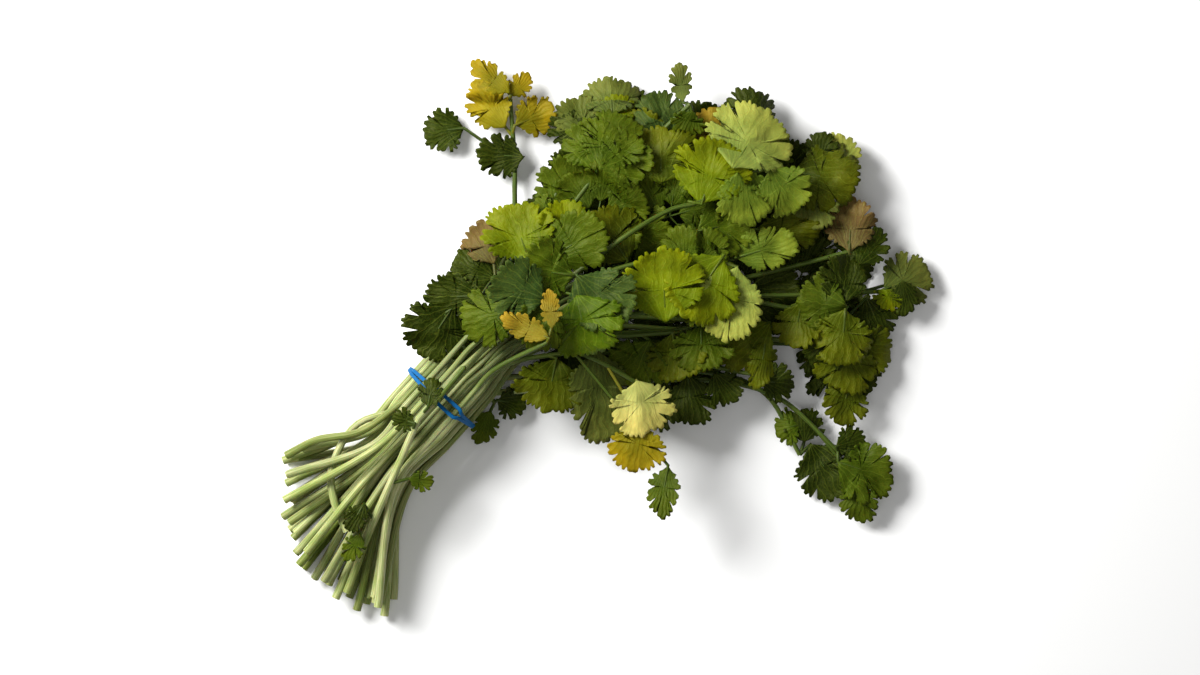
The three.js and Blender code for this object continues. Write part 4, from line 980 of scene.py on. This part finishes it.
def plant_mesh(name, sheets):
    """The faces of the leaflets and the lines of the stem and stalks, with all that is drawn on them."""
    on_leaves = np.vstack(sheets.points)
    on_lines, radii, along, line_colours = (np.concatenate(parts) for parts in zip(*sheets.lines))
    edges, first = [], len(on_leaves)
    for points, *_ in sheets.lines:
        edges += [(first + k, first + k + 1) for k in range(len(points) - 1)]
        first += len(points)
    mesh = bpy.data.meshes.new(name)
    mesh.from_pydata((np.vstack([on_leaves, on_lines]) * MM).tolist(), edges, sheets.faces)
    mesh.polygons.foreach_set("use_smooth", [True] * len(mesh.polygons))

    def store(label, kind, for_leaves, for_lines):
        values = np.concatenate([np.full(len(on_leaves), for_leaves), for_lines])
        mesh.attributes.new(label, kind, "POINT").data.foreach_set("value", values)
    store("is_line", "BOOLEAN", False, np.full(len(on_lines), True))
    store("tube_radius", "FLOAT", 0.0, radii * MM)
    store("along_mm", "FLOAT", 0.0, along)
    colours = np.vstack([*sheets.colours, line_colours])
    colours = np.column_stack([colours, np.ones(len(colours))]).astype(np.float32)
    mesh.attributes.new("plant_colour", "FLOAT_COLOR", "POINT").data.foreach_set("color", colours.ravel())
    corners = np.empty(len(mesh.loops), np.int32)
    mesh.loops.foreach_get("vertex_index", corners)
    places = np.vstack(sheets.uv)[corners].astype(np.float32)
    mesh.uv_layers.new(name="leaf_place").data.foreach_set("uv", places.ravel())
    return mesh


def skin(piece):
    """Gives the piece's lines their tubes, and leaves it a plain mesh with no modifier."""
    modifier = piece.modifiers.new("skin", "NODES")
    modifier.node_group = STEM_TREE
    sockets = STEM_TREE.interface.items_tree
    given = {item.name: item.identifier for item in sockets if item.in_out == "INPUT"}
    modifier[given["Ribs"]] = STEM_RIBS
    modifier[given["Rib depth"]] = RIB_DEPTH
    modifier[given["Stem material"]] = STEM_FINISH
    modifier[given["Leaf material"]] = LEAF_FINISH
    bpy.context.view_layer.update()
    skinned = piece.evaluated_get(bpy.context.evaluated_depsgraph_get())
    made, bare = bpy.data.meshes.new_from_object(skinned), piece.data
    piece.modifiers.remove(modifier)
    piece.data = made
    made.name = piece.name
    bpy.data.meshes.remove(bare)


def make_leafy_stem(name, laid, cuts=SLIT_CUTS, fullness=1):
    """One leafy stem, in place of the solid of that name."""
    sheets = Sheets([[np.array(end) for end in blade["stalk"]] for blade in laid["blades"]])
    points, radii, lengths = stem_line(laid)
    sheets.add_line(points, radii, lengths, stem_colours(lengths))
    for number, blade in enumerate(laid["blades"]):
        add_blade(sheets, blade, number, cuts, fullness)
    piece = bpy.data.objects.new(name + "_plant", plant_mesh(name, sheets))
    bpy.context.scene.collection.objects.link(piece)
    skin(piece)
    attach(piece, "root")
    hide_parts(name)


for number, laid in enumerate(laid_stems, start=1):
    make_leafy_stem(f"leafy_stem_{number:02d}", laid)

# ------------------------------------------------------------------------------------------------
# Rubber band. One blue band of moulded rubber, cut from a tube, so its strands have a nearly square
# section. It is wound twice round the stems, which it holds, and its two turns cross at the sides.

# Its turns lean one way and the other, far apart over the top and close together underneath.
BAND_WIDTH, BAND_SPREAD, BAND_UNDER_SPREAD, BAND_SIDES = 1.7, 2.3, 0.4, 24
BAND_STEPS, SECTION_POINTS, SQUARENESS = 168, 16, 5
BAND_BLUE, DUST_TINT, DUST_LIGHT, DUST_SHARES = "#0b5588", 0.9, 0.006, (0.45, 0.8)


def band_places():
    """Where each stem passes the band: across the bundle, up, and how thick it is."""
    places = []
    for laid in laid_stems:
        points, heights, radii = laid["points"], laid["heights"], laid["radii"]
        along = points @ (AXIS_X, AXIS_Y)
        k = int(np.argmax(along > 0)) - 1
        for strand in (-BAND_SPREAD - BAND_WIDTH, BAND_SPREAD + BAND_WIDTH):
            t = (strand - along[k]) / (along[k + 1] - along[k])
            x, y = points[k] + t * (points[k + 1] - points[k])
            up = heights[k] + t * (heights[k + 1] - heights[k])
            places.append((AXIS_Y * x - AXIS_X * y, up, radii[k]))
    return np.array(places)


def side_facing(k):
    """The way that side k of the taut line faces, from straight down."""
    return -math.pi / 2 + k * 2 * math.pi / BAND_SIDES


def band_line():
    """Corners of the taut line round the stems: across the bundle, up, and the way each faces."""
    places = band_places()
    lines = []
    for k in range(BAND_SIDES):
        normal = np.array([math.cos(side_facing(k)), math.sin(side_facing(k))])
        reach = (places[:, :2] @ normal + places[:, 2]).max() + 2 * HALF_GAP + BAND_THICKNESS / 2
        lines.append((normal, -BAND_THICKNESS / 2 if k == 0 else reach))
    corners = []
    for k, (normal, reach) in enumerate(lines):
        after, after_reach = lines[(k + 1) % BAND_SIDES]
        across, up = np.linalg.solve([normal, after], [reach, after_reach])
        corners.append((across, up, side_facing(k + 0.5)))
    return corners


band_corners = band_line()


def rubber_material():
    """Matt blue rubber with a little pale dust on it."""
    rubber = Finish("blue rubber", roughness=0.65, specular=0.08)
    place = rubber.place()
    dust = rubber.noise(place, scale=260.0, detail=4.0)
    grain = rubber.noise(place, scale=2600.0, detail=2.0)
    blue = linear(BAND_BLUE)
    dusty = blue * DUST_TINT + DUST_LIGHT
    colour = rubber.mixed(rubber.ramp(dust, *DUST_SHARES), (*blue, 1), (*dusty, 1))
    return rubber.made_of(colour, rubber.bump(grain, strength=0.3, distance=0.0001))


def band_section():
    """A rounded square, 1 wide and 1 thick."""
    section = []
    for turn in np.arange(SECTION_POINTS) * 2 * math.pi / SECTION_POINTS:
        wide, thick = math.cos(turn), math.sin(turn)
        size = (abs(wide) ** SQUARENESS + abs(thick) ** SQUARENESS) ** (-1 / SQUARENESS)
        section.append((wide * size / 2, thick * size / 2))
    return section


def band_mesh():
    """Both turns as closed loops of the section, swept round the taut line."""
    section = band_section()
    count = len(section)
    across, up, facing = np.array(band_corners + band_corners[:1]).T
    facing[-1] += 2 * math.pi
    corner = np.arange(BAND_SIDES + 1)
    points, faces = [], []
    for lean in (1, -1):
        first = len(points)
        for k in range(BAND_STEPS):
            at = k * BAND_SIDES / BAND_STEPS
            here_across, here_up, angle = (np.interp(at, corner, line) for line in (across, up, facing))
            spread = BAND_SPREAD if math.sin(angle) > 0 else BAND_UNDER_SPREAD
            middle = lean * spread * math.sin(angle)
            for wide, thick in section:
                x, y = in_bundle(middle + wide * BAND_WIDTH,
                    here_across + thick * BAND_THICKNESS * math.cos(angle))
                z = max(0, here_up + thick * BAND_THICKNESS * math.sin(angle))
                points.append((x * MM, y * MM, z * MM))
        for k in range(BAND_STEPS):
            a, b = first + k * count, first + (k + 1) % BAND_STEPS * count
            for side in range(count):
                after = (side + 1) % count
                faces.append((a + side, a + after, b + after, b + side))
    mesh = bpy.data.meshes.new("rubber_band_wound")
    mesh.from_pydata(points, [], faces)
    mesh.polygons.foreach_set("use_smooth", [True] * len(mesh.polygons))
    mesh.materials.append(rubber_material())
    return mesh


def face_outwards(mesh):
    """Turns the faces of a closed mesh outwards."""
    body = bmesh.new()
    body.from_mesh(mesh)
    bmesh.ops.recalc_face_normals(body, faces=body.faces)
    body.to_mesh(mesh)
    body.free()


wound = band_mesh()
face_outwards(wound)
rubber_band = bpy.data.objects.new("rubber_band_wound", wound)
bpy.context.scene.collection.objects.link(rubber_band)
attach(rubber_band, "root")
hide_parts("rubber_band")

# ------------------------------------------------------------------------------------------------
# Young sprig. A short shoot of coriander with five small leaflets, pulled up with the bunch. It
# lies over the finished bundle and its band.

# Its leaflets are feathery: slim, and cut nearly to their midribs.
YOUNG_SPRIG = dict(tip=(-1, -1), cut=(-38, -73), down=[(-24, -42)],
    across=-1, rise=0, droop=1, slackness=0.6, leaves=[
        ("green", -36, -61, -42, -73, 12), ("dark", -34, -47, -41, -59, 13),
        ("green", -14, -36, -3, -38, 12), ("dark", -11, -11, -21, -8, 14), ("dark", -5, -4, -3, 9, 14)])
SPRIG_CUTS, SPRIG_FULLNESS = (0.9, 1.2), 0.72

top_of_band = [corner for corner in band_corners if math.sin(corner[2]) > 0]
for lean in (-1, 1):
    line = [np.array(in_bundle(lean * BAND_SPREAD * math.sin(facing), across))
        for across, _, facing in top_of_band]
    strand = rod_cover(line, [BAND_WIDTH / 2] * len(line), np.eye(len(line)))
    add_to_heap(strand, np.array([up for _, up, _ in top_of_band]))
make_leafy_stem("young_sprig", lay(YOUNG_SPRIG), SPRIG_CUTS, SPRIG_FULLNESS)

# ------------------------------------------------------------------------------------------------
# The studio: a pale floor that the bunch lies on, soft light from the left and a camera above. The
# floor is a hair below the bunch, so that no two surfaces share a place.
MIDDLE = (0.07155, 0.0272, 0.02)
FLOOR_HALF, FLOOR_HEIGHT, FLOOR_COLOUR = 6.0, -0.0004, (0.9, 0.9, 0.89, 1)

floor_finish = Finish("pale floor", roughness=0.9)
floor_finish.sockets["Base Color"].default_value = FLOOR_COLOUR
floor_mesh = bpy.data.meshes.new("studio_floor")
floor_mesh.from_pydata([(side_x * FLOOR_HALF, side_y * FLOOR_HALF, FLOOR_HEIGHT)
    for side_x, side_y in ((-1, -1), (1, -1), (1, 1), (-1, 1))], [], [(0, 1, 2, 3)])
floor_mesh.materials.append(floor_finish.material)
floor = bpy.data.objects.new("studio_floor", floor_mesh)
bpy.context.scene.collection.objects.link(floor)


def add_light(name, place, size, power):
    """A square light at that place, turned to the middle of the bunch."""
    lamp = bpy.data.lights.new(name, "AREA")
    lamp.size, lamp.energy = size, power
    light = bpy.data.objects.new(name, lamp)
    light.location = place
    light.rotation_euler = (Vector(MIDDLE) - Vector(place)).to_track_quat("-Z", "Y").to_euler()
    bpy.context.scene.collection.objects.link(light)


add_light("key_light", place=(-0.5, 0.42, 0.6), size=0.45, power=18.0)
add_light("fill_light", place=(0.2, -0.4, 2.0), size=1.6, power=8.0)
world = bpy.data.worlds.new("soft studio")
world.use_nodes = True
sky = world.node_tree.nodes["Background"].inputs
sky["Color"].default_value = (1, 1, 1, 1)
sky["Strength"].default_value = 0.2
bpy.context.scene.world = world
bpy.context.scene.view_settings.view_transform = "Standard"

VIEW_HEIGHT, VIEW_WIDTH, SENSOR_WIDTH = 2.5, 0.54, 36
camera_data = bpy.data.cameras.new("camera")
camera_data.sensor_width = SENSOR_WIDTH
camera_data.lens = SENSOR_WIDTH * VIEW_HEIGHT / VIEW_WIDTH
camera = bpy.data.objects.new("camera", camera_data)
camera.location = (MIDDLE[0], MIDDLE[1], VIEW_HEIGHT + MIDDLE[2])
bpy.context.scene.collection.objects.link(camera)
bpy.context.scene.camera = camera
